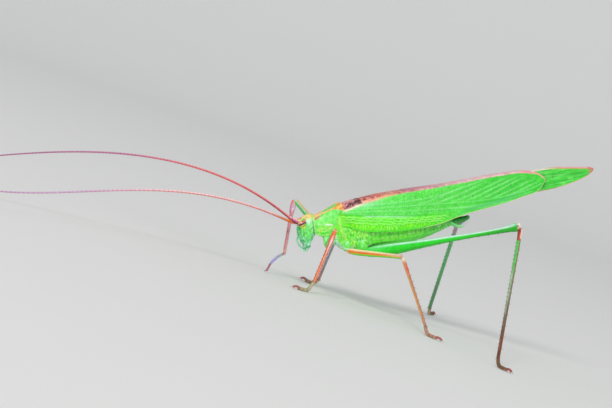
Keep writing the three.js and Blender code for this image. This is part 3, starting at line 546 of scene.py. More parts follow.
JOINT = {}
for name, (tro, knee, ankle, toe) in LEGS.items():
    kind, side = name.split("_")[0], -1 if name.endswith("left") else 1
    tro, knee, ankle = (np.array(p, float) for p in (tro, knee, ankle))
    knee = tro + unit(knee - tro) * FEM[kind]
    if name != "fore_right":
        ankle = knee + unit(ankle - knee) * TIB[kind]
    fd, td = unit(knee - tro), unit(ankle - knee)
    plane = unit(np.cross(fd, td))
    fup = unit(np.cross(plane, fd))
    if fup[2] < 0:
        fup = -fup
    tup = unit(np.cross(plane, td))
    tb = unstand(tro)
    a = ATTACH[kind]
    hip_t = np.array([tb[0] + a[0], tb[1] - side * a[1], tb[2] + a[2]])
    JOINT[name] = dict(kind=kind, side=side, tro=tro, knee=knee, ankle=ankle, fd=fd, td=td, fup=fup, tup=tup, toe=unit([*toe, 0]), hip=hip_t, tro_t=tb)


def coxa_body(j):
    r = COXA[j["kind"]]
    t = np.array([-0.1, 0.0, 0.2, 0.35, 0.5, 0.7, 0.82, 0.93, 1.0, 1.04])
    w = np.interp(t, [-0.1, 0, 0.35, 0.7, 0.93, 1.06], [r[0] * 0.9, r[0], r[0], r[1], r[2], r[2] * 0.72]) - 0.03
    w = w * np.where(t > 1.02, 0.6, 1)
    P = j["hip"] + (j["tro_t"] - j["hip"]) * t[:, None]
    return limb(P, w, w, [1, 0, 0.2], n=40)


# ------------------------------------------------------------------ one skin over head, thorax, abdomen and hips
bodies = [("head", head_body()), ("pronotum", pronotum_body()), ("thorax", thorax_body()), ("abdomen", abdomen_body())]
bodies += [("coxa_" + n, coxa_body(j)) for n, j in JOINT.items()]
NECK = limb(np.array([[-4.9, 0, -0.55], [-4.2, 0, -0.6], [-3.4, 0, -0.7]]), 0.95, 1.15, [0, 0, 1], n=40)
bodies.append(("neck", NECK))

def edges_of(F):
    return np.concatenate([F[:, [k, (k + 1) % F.shape[1]]] for k in range(F.shape[1])])


def relax(V, E, k=0.5, times=1):
    """Pulls points towards the middle of their neighbours."""
    n = len(V)
    cnt = np.bincount(E.ravel(), minlength=n)[:, None]
    for _ in range(times):
        S = np.zeros_like(V)
        for a in range(V.shape[1]):
            S[:, a] = np.bincount(E[:, 0], V[E[:, 1], a], n) + np.bincount(E[:, 1], V[E[:, 0], a], n)
        V = V + (S / np.maximum(cnt, 1) - V) * k
    return V


def normals(V, Q, T):
    N = np.zeros_like(V)
    for F in (Q, T):
        if len(F):
            a, b, c = V[F[:, 0]], V[F[:, 1]], V[F[:, 2]]
            d = V[F[:, 3]] if F.shape[1] == 4 else c
            fn = np.cross(c - a, d - b) if F.shape[1] == 4 else np.cross(b - a, c - a)
            for k in range(F.shape[1]):
                for x in range(3):
                    N[:, x] += np.bincount(F[:, k], fn[:, x], len(V))
    return N / np.maximum(np.linalg.norm(N, axis=1), 1e-12)[:, None]


def fuse(bodies, voxel):
    """One closed skin round several bodies, laid back on their exact surfaces; also the body each point is on."""
    V, Q, T, _ = join([(v, q, t, {}) for _, (v, q, t, _a) in bodies])
    src = bpy.data.meshes.new("source")
    src.from_pydata(V.tolist(), [], Q.tolist() + T.tolist())
    tmp = bpy.data.objects.new("source", src)
    bpy.context.scene.collection.objects.link(tmp)
    rm = tmp.modifiers.new("one", "REMESH")
    rm.mode = "VOXEL"
    rm.voxel_size = voxel
    rm.adaptivity = 0.0
    ev = tmp.evaluated_get(bpy.context.evaluated_depsgraph_get())
    em = ev.to_mesh()
    SV = np.empty(len(em.vertices) * 3)
    em.vertices.foreach_get("co", SV)
    SV = SV.reshape(-1, 3)
    SF = np.array([p.vertices[:] for p in em.polygons if len(p.vertices) == 4])
    ST = np.array([p.vertices[:] for p in em.polygons if len(p.vertices) == 3], int).reshape(-1, 3)
    ev.to_mesh_clear()
    bpy.data.objects.remove(tmp)
    bpy.data.meshes.remove(src)
    E = edges_of(SF)
    SV = relax(SV, E, 0.5, 3)
    polys = Q.tolist() + T.tolist()
    region, n = [], [len(b[1][1]) for b in bodies]
    region = [i for i, k in enumerate(n) for _ in range(k)] + [i for i, b in enumerate(bodies) for _ in range(len(b[1][2]))]
    tree = BVHTree.FromPolygons(V.tolist(), polys)
    hit = [tree.find_nearest(p) for p in SV.tolist()]
    near = np.array([h[0][:] for h in hit])
    reg = np.array(region)[np.array([h[2] for h in hit])]
    step = np.linalg.norm(near - SV, axis=1)
    SV = np.where((step < voxel * 1.6)[:, None], near, SV)
    SV = relax(SV, E, 0.35, 1)
    return SV, SF, ST, E, reg


SV, SF, ST, E, REG = fuse(bodies, 0.058)
print("skin", len(SV), len(SF), len(ST))
NAMES = [b[0] for b in bodies]
is_head, is_pro, is_tho, is_abd = (REG == NAMES.index(k) for k in ("head", "pronotum", "thorax", "abdomen"))
is_cox = np.array([NAMES[r].startswith("coxa") for r in REG])
is_neck = REG == NAMES.index("neck")

# relief, pushed out along the normals
N = normals(SV, SF, ST)
x, y, z = SV[:, 0], SV[:, 1], SV[:, 2]
ay = np.abs(y)
D = np.zeros(len(SV))
hd = is_head.astype(float)
front = smooth(0.25, 0.75, -N[:, 0]) * hd
# sockets of the feelers, the narrow crown point between them, and the rim round each eye
ds = np.sqrt((x + 6.12) ** 2 + (ay - 0.46) ** 2 + (z + 0.16) ** 2)
D += hd * (0.075 * bell(ds, 0.44, 0.085) - 0.10 * smooth(0.40, 0.22, ds))
D += hd * 0.07 * bell(y, 0, 0.15) * smooth(-0.25, 0.15, z) * smooth(0.6, 0.3, z) * smooth(-5.6, -6.0, x)
D -= hd * 0.17 * np.exp(-np.hypot((x + 5.95) / 0.42, (z - 0.62) / 0.34) ** 2) * smooth(0.2, 0.5, N[:, 2])
D -= hd * 0.035 * bell(y, 0, 0.045) * smooth(-0.1, 0.2, z) * smooth(-5.0, -5.6, x)
c28, s28 = math.cos(EYE_TILT), math.sin(EYE_TILT)
ex, ez = (x - EYE_AT[0]) * c28 - (z - EYE_AT[2] - EYE_UP) * s28, (x - EYE_AT[0]) * s28 + (z - EYE_AT[2] - EYE_UP) * c28
er = np.sqrt((ex / (EYE_R[0] + 0.03)) ** 2 + (ez / (EYE_R[2] + 0.03)) ** 2)
sidef = smooth(0.7, 1.0, ay) * hd
D += sidef * (0.05 * bell(er, 1.18, 0.14) - 0.05 * smooth(1.05, 0.8, er))
# sutures of the face
XY = lambda poly, w, d, m: -d * np.exp(-(to_line(x, z, poly)[0] / w) ** 2) * m
D += XY([[-5.86, -0.72], [-5.90, -1.1], [-5.93, -1.8], [-5.98, -2.5]], 0.06, 0.030, sidef)
D += XY([[-5.35, -0.55], [-5.05, -1.2], [-4.98, -2.0], [-5.2, -2.75]], 0.07, 0.026, sidef)
D += XY([[-4.58, 0.80], [-4.48, 0.1], [-4.44, -0.8], [-4.48, -1.6], [-4.66, -2.4]], 0.09, 0.05, hd * smooth(0.3, 0.6, ay))
YZ = lambda poly, w, d, m: -d * np.exp(-(to_line(ay, z, poly)[0] / w) ** 2) * m
D += YZ([[0.20, -0.45], [0.34, -1.1], [0.52, -1.8], [0.66, -2.42]], 0.06, 0.035, front)
D += YZ([[0.0, -2.38], [0.4, -2.42], [0.78, -2.50], [1.0, -2.66]], 0.07, 0.06, front)
D += YZ([[0.0, -2.86], [0.35, -2.88], [0.62, -2.95]], 0.06, 0.05, front)
D += front * 0.05 * bell(ay, 0.0, 0.24) * smooth(-0.4, -0.9, z) * smooth(-2.3, -1.9, z)
D += hd * 0.045 * bell(np.sqrt((y) ** 2 + (z + 0.40) ** 2), 0, 0.11) * front
D += hd * 0.030 * smooth(0.4, 0.6, noise(SV, 0.45, 5)) * smooth(-0.3, -0.8, z)
D += hd * 0.018 * (noise(SV, 0.16, 8) - 0.5)
web = np.zeros(len(SV))
pick = is_head | is_pro
web[pick] = smooth(0.085, 0.0, cells(SV[pick] * [1.0, 1.0, 0.8], 0.36, 5))
web2 = np.zeros(len(SV))
web2[pick] = smooth(0.05, 0.0, cells(SV[pick] * [1.0, 1.0, 0.55], 0.22, 6))
face = hd * smooth(0.1, -0.5, z)
D += face * (0.026 * web + 0.012 * web2)
# pronotum: raised side ridges on the disc, cross furrow, a rim round the lobe
pr = is_pro.astype(float)
ridge_y = PRO["ridge"](x)
ontop = smooth(0.35, 0.75, N[:, 2])
D += pr * 0.05 * bell(ay, ridge_y - 0.02, 0.13) * smooth(PRO["top"](x) - 0.5, PRO["top"](x) - 0.15, z)
D -= pr * 0.05 * bell(x - 0.10 * np.cos(y * 2), -2.35, 0.10) * ontop
D -= pr * 0.035 * bell(x, -1.2 - 0.15 * np.abs(y), 0.09) * ontop
D -= pr * 0.03 * bell(y, 0, 0.05) * ontop
low = PRO["low"](x)
lobe = pr * smooth(0.6, 1.0, ay)
D += lobe * 0.06 * bell(z, low + 0.14, 0.10)
D -= lobe * 0.045 * bell(z, low + 0.36, 0.13)
D += lobe * 0.05 * bell(x, -4.28, 0.09) - lobe * 0.035 * bell(x, -4.04, 0.09)
D += pr * 0.020 * bell(x, 0.0, 0.10) * ontop - pr * 0.020 * bell(x, -0.22, 0.10) * ontop
D -= pr * 0.05 * smooth(-0.12, 0.10, x)
D += XY([[-3.1, -0.55], [-2.4, -0.78], [-1.6, -0.90], [-1.0, -0.72]], 0.13, -0.035, lobe)
D += XY([[-3.4, -1.15], [-2.5, -1.35], [-1.7, -1.35]], 0.10, 0.035, lobe)
D += pr * 0.040 * (noise(SV, 0.38, 11) - 0.5) + pr * 0.018 * (noise(SV, 0.14, 12) - 0.5) + pr * 0.010 * web
# thorax: plates of the side with slanting furrows between them, rough skin
th = is_tho.astype(float)
tside = th * smooth(0.5, 0.85, np.abs(N[:, 1]))
D += XY([[-0.9, -0.4], [-0.5, -1.6], [-0.35, -2.9], [-0.9, -3.9]], 0.09, 0.075, tside)
D += XY([[0.55, -0.9], [0.85, -2.2], [0.95, -3.4], [0.55, -4.5]], 0.08, 0.07, tside)
D += XY([[1.85, -1.2], [2.05, -2.6], [2.10, -3.8], [1.75, -4.6]], 0.09, 0.075, tside)
D += XY([[2.75, -2.2], [3.0, -3.4], [2.85, -4.9]], 0.08, 0.06, tside)
D += XY([[-0.2, -2.5], [0.3, -3.2], [0.6, -3.3]], 0.22, -0.06, tside)
D += XY([[1.1, -2.6], [1.5, -3.5], [1.6, -4.0]], 0.24, -0.07, tside)
under = th * smooth(-0.75, -0.35, x) * smooth(-2.05, -1.65, z)
D -= 0.20 * under * smooth(0.5, 0.9, ay)
rough_th = th * smooth(-1.3, -2.3, z)
streak = noise(SV * [2.6, 1, 1], 0.40, 22)
D += rough_th * (0.035 * (noise(SV, 0.42, 21) - 0.5) + 0.050 * (streak - 0.5)) + th * 0.02 * (noise(SV, 0.3, 23) - 0.5)
# abdomen: each ring laps over the next, a fold between back and belly plates
ab = is_abd.astype(float)
ring = 1.28
ph = np.mod(x - 3.5 + 0.10 * np.sin(z * 1.3), ring) / ring
D += ab * (0.055 * ph ** 2 - 0.07 * bell(ph, 0.0, 0.05) - 0.05 * bell(ph, 1.0, 0.04))
split = lerp(ABD["top"](x), ABD["low"](x), 0.80)
D -= ab * 0.07 * bell(z, split, 0.10)
D += ab * 0.035 * (noise(SV, 0.42, 31) - 0.5) + ab * 0.018 * (noise(SV, 0.15, 32) - 0.5)
D += is_cox * (0.05 * (noise(SV, 0.35, 41) - 0.5))
N = normals(relax(SV, E, 0.5, 2), SF, ST)
SV = SV + N * (D - 0.012)[:, None]

# ------------------------------------------------------------------ skin colours
x, y, z = SV[:, 0], SV[:, 1], SV[:, 2]
ay = np.abs(y)
C = np.tile(GREEN, (len(SV), 1))
FL = np.zeros(len(SV))
n1, n2, n3 = noise(SV, 0.8, 51), noise(SV, 0.25, 52), noise(SV, 0.5, 53)
# head
side_hd = hd * smooth(0.55, 0.85, ay)
nfh = noise(SV, 0.18, 65)
L2 = lambda poly, w: np.exp(-(to_line(x, z, poly)[0] / w) ** 2)
C = blend(C, rgb(124, 242, 120), hd)
C = blend(C, rgb(136, 238, 132), hd * smooth(-1.2, -0.2, z) * 0.7)
C = blend(C, rgb(78, 206, 86), hd * smooth(0.42, 0.28, n2) * smooth(0.0, -0.6, z) * 0.45)
C = blend(C, rgb(150, 246, 150), hd * smooth(0.56, 0.72, n1) * 0.35)
C = blend(C, rgb(66, 168, 122), hd * smooth(-6.10, -6.50, x) * smooth(-0.3, -0.7, z) * smooth(-2.3, -1.6, z) * 0.8)
C = blend(C, rgb(120, 212, 158), hd * smooth(-1.9, -2.6, z) * 0.7)
C = blend(C, rgb(186, 255, 176), face * web * 0.62)
C = blend(C, rgb(150, 244, 150), face * web2 * 0.22)
C = blend(C, rgb(54, 170, 74), face * smooth(0.42, 0.25, noise(SV, 0.2, 60)) * 0.55)
C = blend(C, CYANW, hd * smooth(0.56, 0.70, n2) * smooth(-1.7, -2.4, z) * 0.85)
C = blend(C, rgb(30, 128, 80), side_hd * 0.42 * L2([[-5.88, -1.05], [-5.90, -1.5], [-5.82, -2.2]], 0.06))
C = blend(C, rgb(40, 144, 80), side_hd * 0.30 * L2([[-5.55, -0.95], [-5.46, -1.5], [-5.38, -2.3]], 0.05))
C = blend(C, rgb(50, 150, 110), side_hd * 0.5 * L2([[-6.30, -0.80], [-6.26, -1.4], [-6.20, -2.0]], 0.05))
# painted highlights: bluish-white glints low on the front and on the back of the head
C = blend(C, rgb(196, 222, 240), side_hd * np.exp(-(np.hypot((x + 6.36) / 0.16, (z + 2.15) / 0.42)) ** 2) * (0.4 + 0.8 * n2))
C = blend(C, rgb(206, 232, 244), hd * np.exp(-(np.hypot((x + 4.66) / 0.20, (z + 2.10) / 0.42)) ** 2) * (0.35 + 0.9 * n2))
C = blend(C, rgb(216, 248, 232), hd * np.exp(-(np.hypot((x + 4.55) / 0.15, (z + 1.0) / 0.75)) ** 2) * smooth(0.38, 0.60, n2) * 0.8)
cl = curve([[-6.6, 0.05], [-6.19, 0.17], [-5.71, 0.46], [-5.11, 0.66], [-4.28, 0.58]])(x)
crown = hd * smooth(cl - 0.07, cl + 0.07, z)
C = blend(C, rgb(160, 252, 146), side_hd * np.exp(-np.hypot((x + 5.08) / 0.62, (z + 0.92) / 0.72) ** 2) * (0.25 + 0.6 * n2))
C = blend(C, rgb(240, 226, 136), crown)
C = blend(C, rgb(252, 242, 196), crown * smooth(0.42, 0.66, n2) * 0.7)
C = blend(C, rgb(250, 196, 130), crown * smooth(-5.5, -4.9, x) * smooth(0.35, 0.6, n1 + 0.15) * 0.25)
C = blend(C, rgb(160, 226, 120), crown * smooth(0.25, 0.10, ay) * smooth(-5.4, -5.0, x) * 0.7)
C = blend(C, rgb(240, 236, 176), hd * smooth(-5.75, -6.05, x) * smooth(0.0, 0.25, z) * smooth(0.6, 0.35, ay) * 0.9)
C = blend(C, rgb(252, 188, 140), hd * np.exp(-np.hypot((x + 5.05) / 0.42, (z - 0.50) / 0.17) ** 2) * smooth(0.35, 0.6, ay) * 0.95)
C = blend(C, rgb(228, 250, 236), hd * np.exp(-np.hypot((x + 4.90) / 0.42, (z - 0.06) / 0.36) ** 2) * smooth(0.5, 0.8, ay) * (0.62 + 0.6 * n2))
C = blend(C, rgb(226, 84, 92), hd * L2([[-6.36, 0.10], [-6.08, 0.32], [-5.66, 0.40], [-5.36, 0.26]], 0.09) * smooth(0.55, 0.8, ay) * 0.9)
C = blend(C, rgb(246, 246, 132), hd * L2([[-6.16, -0.50], [-5.92, -0.62], [-5.64, -0.60]], 0.14) * smooth(0.55, 0.85, ay) * 0.98)
C = blend(C, rgb(40, 120, 70), hd * 0.9 * bell(np.hypot(x + 4.75, z + 0.98), 0, 0.085))
# painted shade: the back of the head darkened where it runs under the pronotum
C = blend(C, rgb(52, 132, 56), hd * smooth(-4.46, -4.36, x) * smooth(0.35, -0.15, z) * 0.7)
C = blend(C, rgb(186, 204, 116), hd * smooth(-4.66, -4.50, x) * smooth(-0.1, 0.35, z) * 0.6)
C = blend(C, rgb(248, 204, 136), hd * np.exp(-np.hypot((x + 4.72) / 0.28, (z - 0.62) / 0.16) ** 2) * 0.7)
# painted shade: a dark band along the head's rear margin, where it meets the pronotum
C = blend(C, rgb(66, 126, 48), hd * L2([[-4.46, -0.85], [-4.52, -1.4], [-4.62, -1.95], [-4.84, -2.40]], 0.14) * smooth(0.30, 0.60, nfh) * 0.85)
# pronotum
C = blend(C, rgb(134, 244, 124), pr)
C = blend(C, rgb(154, 252, 140), pr * smooth(-1.9, -3.0, x) * 0.6)
C = blend(C, rgb(120, 242, 80), pr * smooth(-0.2, -1.3, z) * 0.6)
C = blend(C, rgb(196, 255, 176), pr * smooth(0.54, 0.74, n2) * 0.50)
C = blend(C, rgb(84, 206, 76), pr * smooth(0.44, 0.24, noise(SV, 0.3, 56)) * 0.45)
C = blend(C, rgb(190, 250, 130), pr * smooth(0.55, 0.75, noise(SV * [0.5, 1, 1.6], 0.32, 57)) * smooth(-0.2, -1.0, z) * 0.55)
C = blend(C, rgb(196, 255, 180), pr * web * 0.18)
C = blend(C, rgb(214, 250, 140), lobe * (L2([[-3.60, -1.10], [-1.62, -1.42]], 0.08) + L2([[-3.76, -1.47], [-2.66, -1.73]], 0.08)) * 0.75)
C = blend(C, rgb(214, 252, 190), lobe * L2([[-3.64, -0.64], [-2.67, -0.80]], 0.07) * 0.7)
C = blend(C, rgb(250, 255, 244), lobe * L2([[-2.66, -0.75], [-1.78, -0.92]], 0.10) * 1.0)
wob = 0.05 * (n1 - 0.5)
C = blend(C, rgb(216, 246, 178), lobe * np.maximum(bell(x + wob, -4.28, 0.09), bell(z + wob, low + 0.04, 0.08)) * (0.35 + 0.5 * n2))
C = blend(C, rgb(222, 240, 150), lobe * bell(x - curve([[-2.6, -1.9], [-1.5, -1.22], [-1.0, -0.90], [0.4, -0.44], [1.1, 0.42]])(z), 0, 0.13) * (0.45 + 0.5 * n2))
topz = PRO["top"](x)
zl = curve([[-4.36, 0.42], [-3.75, 0.56], [-2.3, 0.90], [-1.4, 1.17], [-0.8, 1.16], [-0.3, 0.96], [0.5, 0.86]])(x) + 0.10 * (n2 - 0.5)
inner = ridge_y * smooth(-0.35, -0.9, x) - 0.24 - 0.9 * smooth(-2.5, -2.95, x)
stripe = pr * smooth(zl - 0.06, zl + 0.05, z) * np.where(inner > 0, smooth(inner - 0.08, inner + 0.08, ay), 1)
C = blend(C, rgb(246, 158, 78), np.clip(stripe, 0, 1) * 0.97)
C = blend(C, rgb(254, 214, 138), stripe * np.maximum(smooth(0.44, 0.62, noise(SV * [0.6, 1, 1], 0.28, 58)), smooth(-1.6, -2.4, x) * 0.7) * 0.85)
C = blend(C, rgb(236, 118, 84), stripe * smooth(0.45, 0.28, n2) * 0.40)
# painted highlight: a pale line along the top edge of the orange stripe
C = blend(C, rgb(250, 226, 176), stripe * bell(z, zl + 0.05, 0.07) * 0.5)
C = blend(C, rgb(240, 232, 140), pr * smooth(-3.8, -4.3, x) * bell(ay, ridge_y, 0.3) * ontop * 0.5)
C = blend(C, rgb(218, 96, 108), pr * np.clip(1.1 * L2([[-3.98, 0.22], [-3.62, 0.36], [-3.30, 0.50]], 0.14), 0, 1) * (0.65 + 0.5 * n2) * smooth(0.4, 0.6, ay))
C = blend(C, rgb(60, 120, 50), pr * L2([[-3.02, 0.62], [-2.86, 0.68]], 0.06) * smooth(0.5, 0.8, ay) * 0.7)
C = blend(C, rgb(252, 206, 140), pr * smooth(-0.18, 0.04, x) * ontop * 0.6)
disc = (np.abs(ay - 0.14 * (x + 2.5)) / 0.62) ** 3.2 + (np.abs(x + 1.76) / 1.20) ** 3.2 + 1.1 * (n2 - 0.5)
C = blend(C, rgb(96, 222, 96), pr * ontop * smooth(1.5, 0.6, disc) * 0.75)
# thorax
C = blend(C, rgb(134, 240, 96), th)
nf = noise(SV, 0.15, 54)
rth = th * smooth(-1.2, -2.2, z)
C = blend(C, rgb(80, 192, 66), rth * smooth(0.46, 0.26, streak) * 0.60)
C = blend(C, rgb(202, 250, 110), rth * smooth(0.55, 0.75, streak) * 0.60)
C = blend(C, rgb(176, 250, 160), rth * smooth(0.56, 0.74, nf) * 0.50)
C = blend(C, rgb(84, 196, 76), rth * smooth(0.42, 0.24, nf) * 0.40)
C = blend(C, rgb(214, 244, 232), rth * smooth(0.60, 0.76, noise(SV * [1.6, 1, 1], 0.22, 55)) * smooth(-2.4, -3.8, z) * 0.38)
C = blend(C, rgb(188, 252, 130), (th + pr) * L2([[-0.80, -0.1], [-0.66, -1.2], [-0.46, -2.4], [-0.3, -3.2]], 0.30) * smooth(0.8, 1.2, ay) * (0.2 + 0.6 * nf))
C = blend(C, rgb(216, 248, 160), th * L2([[-0.72, -0.3], [-0.62, -1.2], [-0.42, -2.4], [-0.3, -3.2]], 0.11) * smooth(0.8, 1.2, ay) * (0.2 + 0.6 * nf))
C = blend(C, rgb(176, 110, 70), th * L2([[-0.62, -1.25], [-0.50, -2.1]], 0.06) * smooth(0.8, 1.2, ay) * smooth(0.5, 0.7, nf) * 0.8)
C = blend(C, rgb(222, 238, 250), th * L2([[-1.66, -2.9], [-1.62, -3.5], [-1.42, -4.0], [-0.7, -4.55], [0.3, -4.95]], 0.36) * smooth(0.38, 0.54, noise(SV, 0.24, 64)) * 0.95)
# painted highlight: a white glint along the low front of the thorax
C = blend(C, rgb(240, 250, 246), th * L2([[-0.6, -4.5], [0.3, -4.85], [1.4, -5.0]], 0.16) * 0.8)
C = blend(C, rgb(214, 244, 196), th * L2([[-0.8, -4.25], [0.5, -4.48], [1.7, -4.64]], 0.26) * smooth(0.36, 0.56, noise(SV, 0.2, 66)) * 0.85)
FL += th * smooth(-1.5, -2.5, z)
FL += hd * smooth(-1.6, -2.3, z)
# abdomen
C = blend(C, rgb(122, 236, 90), ab)
C = blend(C, rgb(92, 186, 92), ab * smooth(8, 13, x) * 0.8)
C = blend(C, rgb(160, 240, 116), ab * smooth(0.50, 0.70, n2) * 0.45)
C = blend(C, rgb(76, 182, 66), ab * smooth(0.46, 0.28, noise(SV, 0.3, 59)) * 0.4)
up_ = lerp(ABD["top"](x), ABD["low"](x), 0.62)
lo_ = lerp(ABD["top"](x), ABD["low"](x), 0.74)
spot = np.maximum(bell(z, up_ + 0.1, 0.30), bell(z, lo_, 0.16) * 0.7) * np.maximum(bell(ph, 0.30, 0.15), bell(ph, 0.74, 0.13)) * (0.3 + 0.9 * noise(SV, 0.5, 67))
C = blend(C, rgb(204, 250, 178), ab * np.clip(1.4 * spot * smooth(12.5, 9.5, x) * (0.5 + 0.8 * n2), 0, 1) * 0.9)
C = blend(C, rgb(70, 160, 66), ab * np.maximum(bell(ph, 0.0, 0.05), bell(ph, 1.0, 0.04)) * 0.40)
C = blend(C, rgb(176, 240, 120), ab * bell(z, split + 0.1, 0.09) * smooth(9, 7, x) * 0.5)
C = blend(C, rgb(112, 216, 104), ab * smooth(split, split - 0.4, z) * 0.6)
C = blend(C, rgb(176, 240, 170), ab * smooth(12.2, 13.4, x) * smooth(0.52, 0.68, nf) * 0.6)
# painted shadow: a dark line on the thorax and abdomen along the top of the hind femur, where the femur shades them
C = blend(C, rgb(28, 92, 30), (th + is_abd) * L2([[2.46, -5.0], [2.91, -4.88], [3.5, -4.74], [4.52, -4.67], [5.96, -4.72], [8.1, -4.82]], curve([[2.4, 0.06], [3.2, 0.16], [4.5, 0.10], [8, 0.05]])(x)) * smooth(8.5, 5.0, x) * 0.92)
FL += ab * 0.5
for i, nm in enumerate(NAMES):
    if nm.startswith("coxa"):
        k = (REG == i).astype(float)
        C = blend(C, {"fore": rgb(146, 238, 136), "mid": rgb(126, 232, 110), "hind": rgb(112, 228, 90)}[nm.split("_")[1]], k)
        C = blend(C, rgb(176, 246, 150), k * smooth(0.50, 0.72, n2) * 0.5)
        C = blend(C, rgb(220, 244, 240), k * smooth(0.62, 0.78, nf) * 0.6)
        FL += k * 0.6
C = blend(C, rgb(90, 170, 96), is_neck * 1.0)
low_th = np.clip(th + np.isin(REG, [i for i, nm in enumerate(NAMES) if nm.startswith("coxa_mid")]), 0, 1)
# painted shade: the underside of the thorax and mid hip darker
C = blend(C, rgb(78, 186, 70), low_th * smooth(-4.60, -4.86, z) * smooth(-1.3, -0.9, x) * smooth(2.2, 1.2, x) * 0.5)
# painted highlight: a white glint across the thorax and mid hip, above the underside
C = blend(C, rgb(228, 250, 240), low_th * L2([[-0.80, -4.26], [-0.54, -4.44], [0.10, -4.64]], 0.09) * 0.85)
skin_nodes = ["head", "pronotum", "thorax", "abdomen_front", "abdomen_middle", "abdomen_rear"] + ["coxa_" + n for n in JOINT]
make("body_skin", (SV, SF, ST, {}), M_SKIN, C, skin_nodes, extra={"fleck": np.clip(FL, 0, 1)})

# ------------------------------------------------------------------ eyes
def ball(n=48, m=32):
    q = np.linspace(0, np.pi, m + 1)[1:-1]
    p = np.arange(n) * 2 * np.pi / n
    R = np.stack([np.sin(q)[:, None] * np.cos(p), np.sin(q)[:, None] * np.sin(p), np.cos(q)[:, None] + 0 * p], -1)
    V, Q, T, _ = loft(R)
    V[-2], V[-1] = [0, 0, 1], [0, 0, -1]
    return V, Q, T


for side, nm in ((-1, "left"), (1, "right")):
    U, q, t = ball()
    P = U * EYE_R * 0.985
    a = -EYE_TILT
    P = P @ np.array([[math.cos(a), 0, math.sin(a)], [0, 1, 0], [-math.sin(a), 0, math.cos(a)]]).T
    b = math.radians(8 * side)
    P = P @ np.array([[1, 0, 0], [0, math.cos(b), -math.sin(b)], [0, math.sin(b), math.cos(b)]]).T
    P = P + (EYE_AT + [0, 0.03, EYE_UP]) * [1, side, 1] + np.array([0.16, 0, 0.18]) * (side > 0)
    c = np.tile(rgb(210, 84, 104), (len(P), 1))
    c = blend(c, rgb(232, 92, 80), smooth(0.25, 0.8, U[:, 2]) * 0.8)
    c = blend(c, rgb(250, 176, 150), bell(U[:, 2], 0.42, 0.10) * smooth(-0.2, 0.6, U[:, 0]) * 0.6)
    c = blend(c, rgb(240, 238, 118), smooth(-0.44, -0.62, U[:, 2]))
    c = blend(c, rgb(238, 214, 150), smooth(0.15, -0.25, U[:, 0]) * smooth(0.15, 0.45, U[:, 2]) * (0.85 if side < 0 else 0.4))
    across = U[:, 2] + 0.16 - 0.10 * U[:, 0]
    c = blend(c, rgb(160, 60, 140), bell(across, 0.0, 0.36) * smooth(0.95, 0.7, np.abs(U[:, 0])) * 0.8)
    c = blend(c, rgb(14, 2, 20), smooth(0.27, 0.17, np.abs(across)) * smooth(0.97, 0.80, np.abs(U[:, 0])) * (U[:, 1] * side > -0.2))
    c = blend(c, rgb(240, 206, 150), smooth(0.93, 1.0, np.hypot(U[:, 0], U[:, 2])) * 0.35)
    # painted highlight: the upper part of the far eye lighter
    if side > 0:
        c = blend(c, rgb(250, 196, 186), smooth(0.55, 0.9, U[:, 2]) * 0.7)
    make("eye_" + nm + "_facets", (P, q, t, {}), M_EYE, c, ["eye_" + nm], extra={"net": np.ones(len(P))})


# ------------------------------------------------------------------ mouthparts and palps
def shell(name, center, radii, turn=(0, 0, 0), pw=2.0, n=32, m=22):
    U, q, t = ball(n, m)
    r = np.sum(np.abs(U) ** pw, axis=1) ** (1 / pw)
    P = U / r[:, None] * radii
    e = Matrix.Rotation(math.radians(turn[0]), 3, "X") @ Matrix.Rotation(math.radians(turn[1]), 3, "Y") @ Matrix.Rotation(math.radians(turn[2]), 3, "Z")
    P = P @ np.array(e).T + center
    return P, q, t, {"k": np.full(len(P), float(name))}


def core(rows, n=64):
    R = []
    q = np.arange(n) * 2 * np.pi / n
    zs = [r[0] for r in rows][::-1]
    fx, bx, w = (curve([[r[0], r[k]] for r in rows][::-1]) for k in (1, 2, 3))
    for zz in np.linspace(zs[-1], zs[0], 30):
        R.append(np.column_stack([(fx(zz) + bx(zz)) / 2 - (bx(zz) - fx(zz)) / 2 * np.cos(q), np.sin(q) * w(zz), np.full(n, zz)]))
    return loft(np.array(R))


mp = [("core", core([[-2.5, -6.34, -4.84, 0.95], [-2.9, -6.32, -5.02, 0.90], [-3.25, -6.22, -5.16, 0.82], [-3.6, -6.10, -5.32, 0.70], [-3.9, -6.00, -5.46, 0.50], [-4.10, -5.92, -5.60, 0.28]])),
      ("clypeus", shell(0, [-6.30, 0, -2.92], [0.24, 0.74, 0.30], (0, 14, 0), 2.6)), ("labrum", shell(0, [-6.12, 0, -3.46], [0.22, 0.56, 0.42], (0, 10, 0), 2.4)),
      ("labium", shell(0, [-5.38, 0, -3.38], [0.32, 0.52, 0.50], (0, -16, 0)))]
for s_ in (-1, 1):
    mp += [("jaw", shell(0, [-5.84, 0.62 * s_, -3.20], [0.42, 0.32, 0.52], (12 * s_, 8, 0), 2.5)), ("stipes", shell(0, [-5.42, 0.60 * s_, -3.10], [0.34, 0.28, 0.52], (12 * s_, -14, 0))),
           ("galea", shell(0, [-5.74, 0.38 * s_, -3.80], [0.26, 0.22, 0.40], (10 * s_, 4, 0))), ("tongue", shell(0, [-5.78, 0.22 * s_, -3.98], [0.18, 0.18, 0.26], (0, -6, 0)))]
MV, MQ, MT, ME, MR = fuse(mp, 0.032)
mn = np.array([b[0] for b in mp])[MR]
NM = normals(MV, MQ, MT)
nz, nq = noise(MV, 0.15, 61), noise(MV, 0.34, 62)
MV = MV + NM * (0.045 * (nz - 0.5) + 0.05 * (nq - 0.5))[:, None]
c = np.tile(rgb(108, 208, 132), (len(MV), 1))
c = blend(c, rgb(108, 206, 132), (mn == "labrum") * 0.8)
c = blend(c, rgb(150, 222, 176), ((mn == "stipes") | (mn == "labium")) * 0.7)
c = blend(c, rgb(176, 232, 206), ((mn == "galea") | (mn == "tongue")) * 0.8)
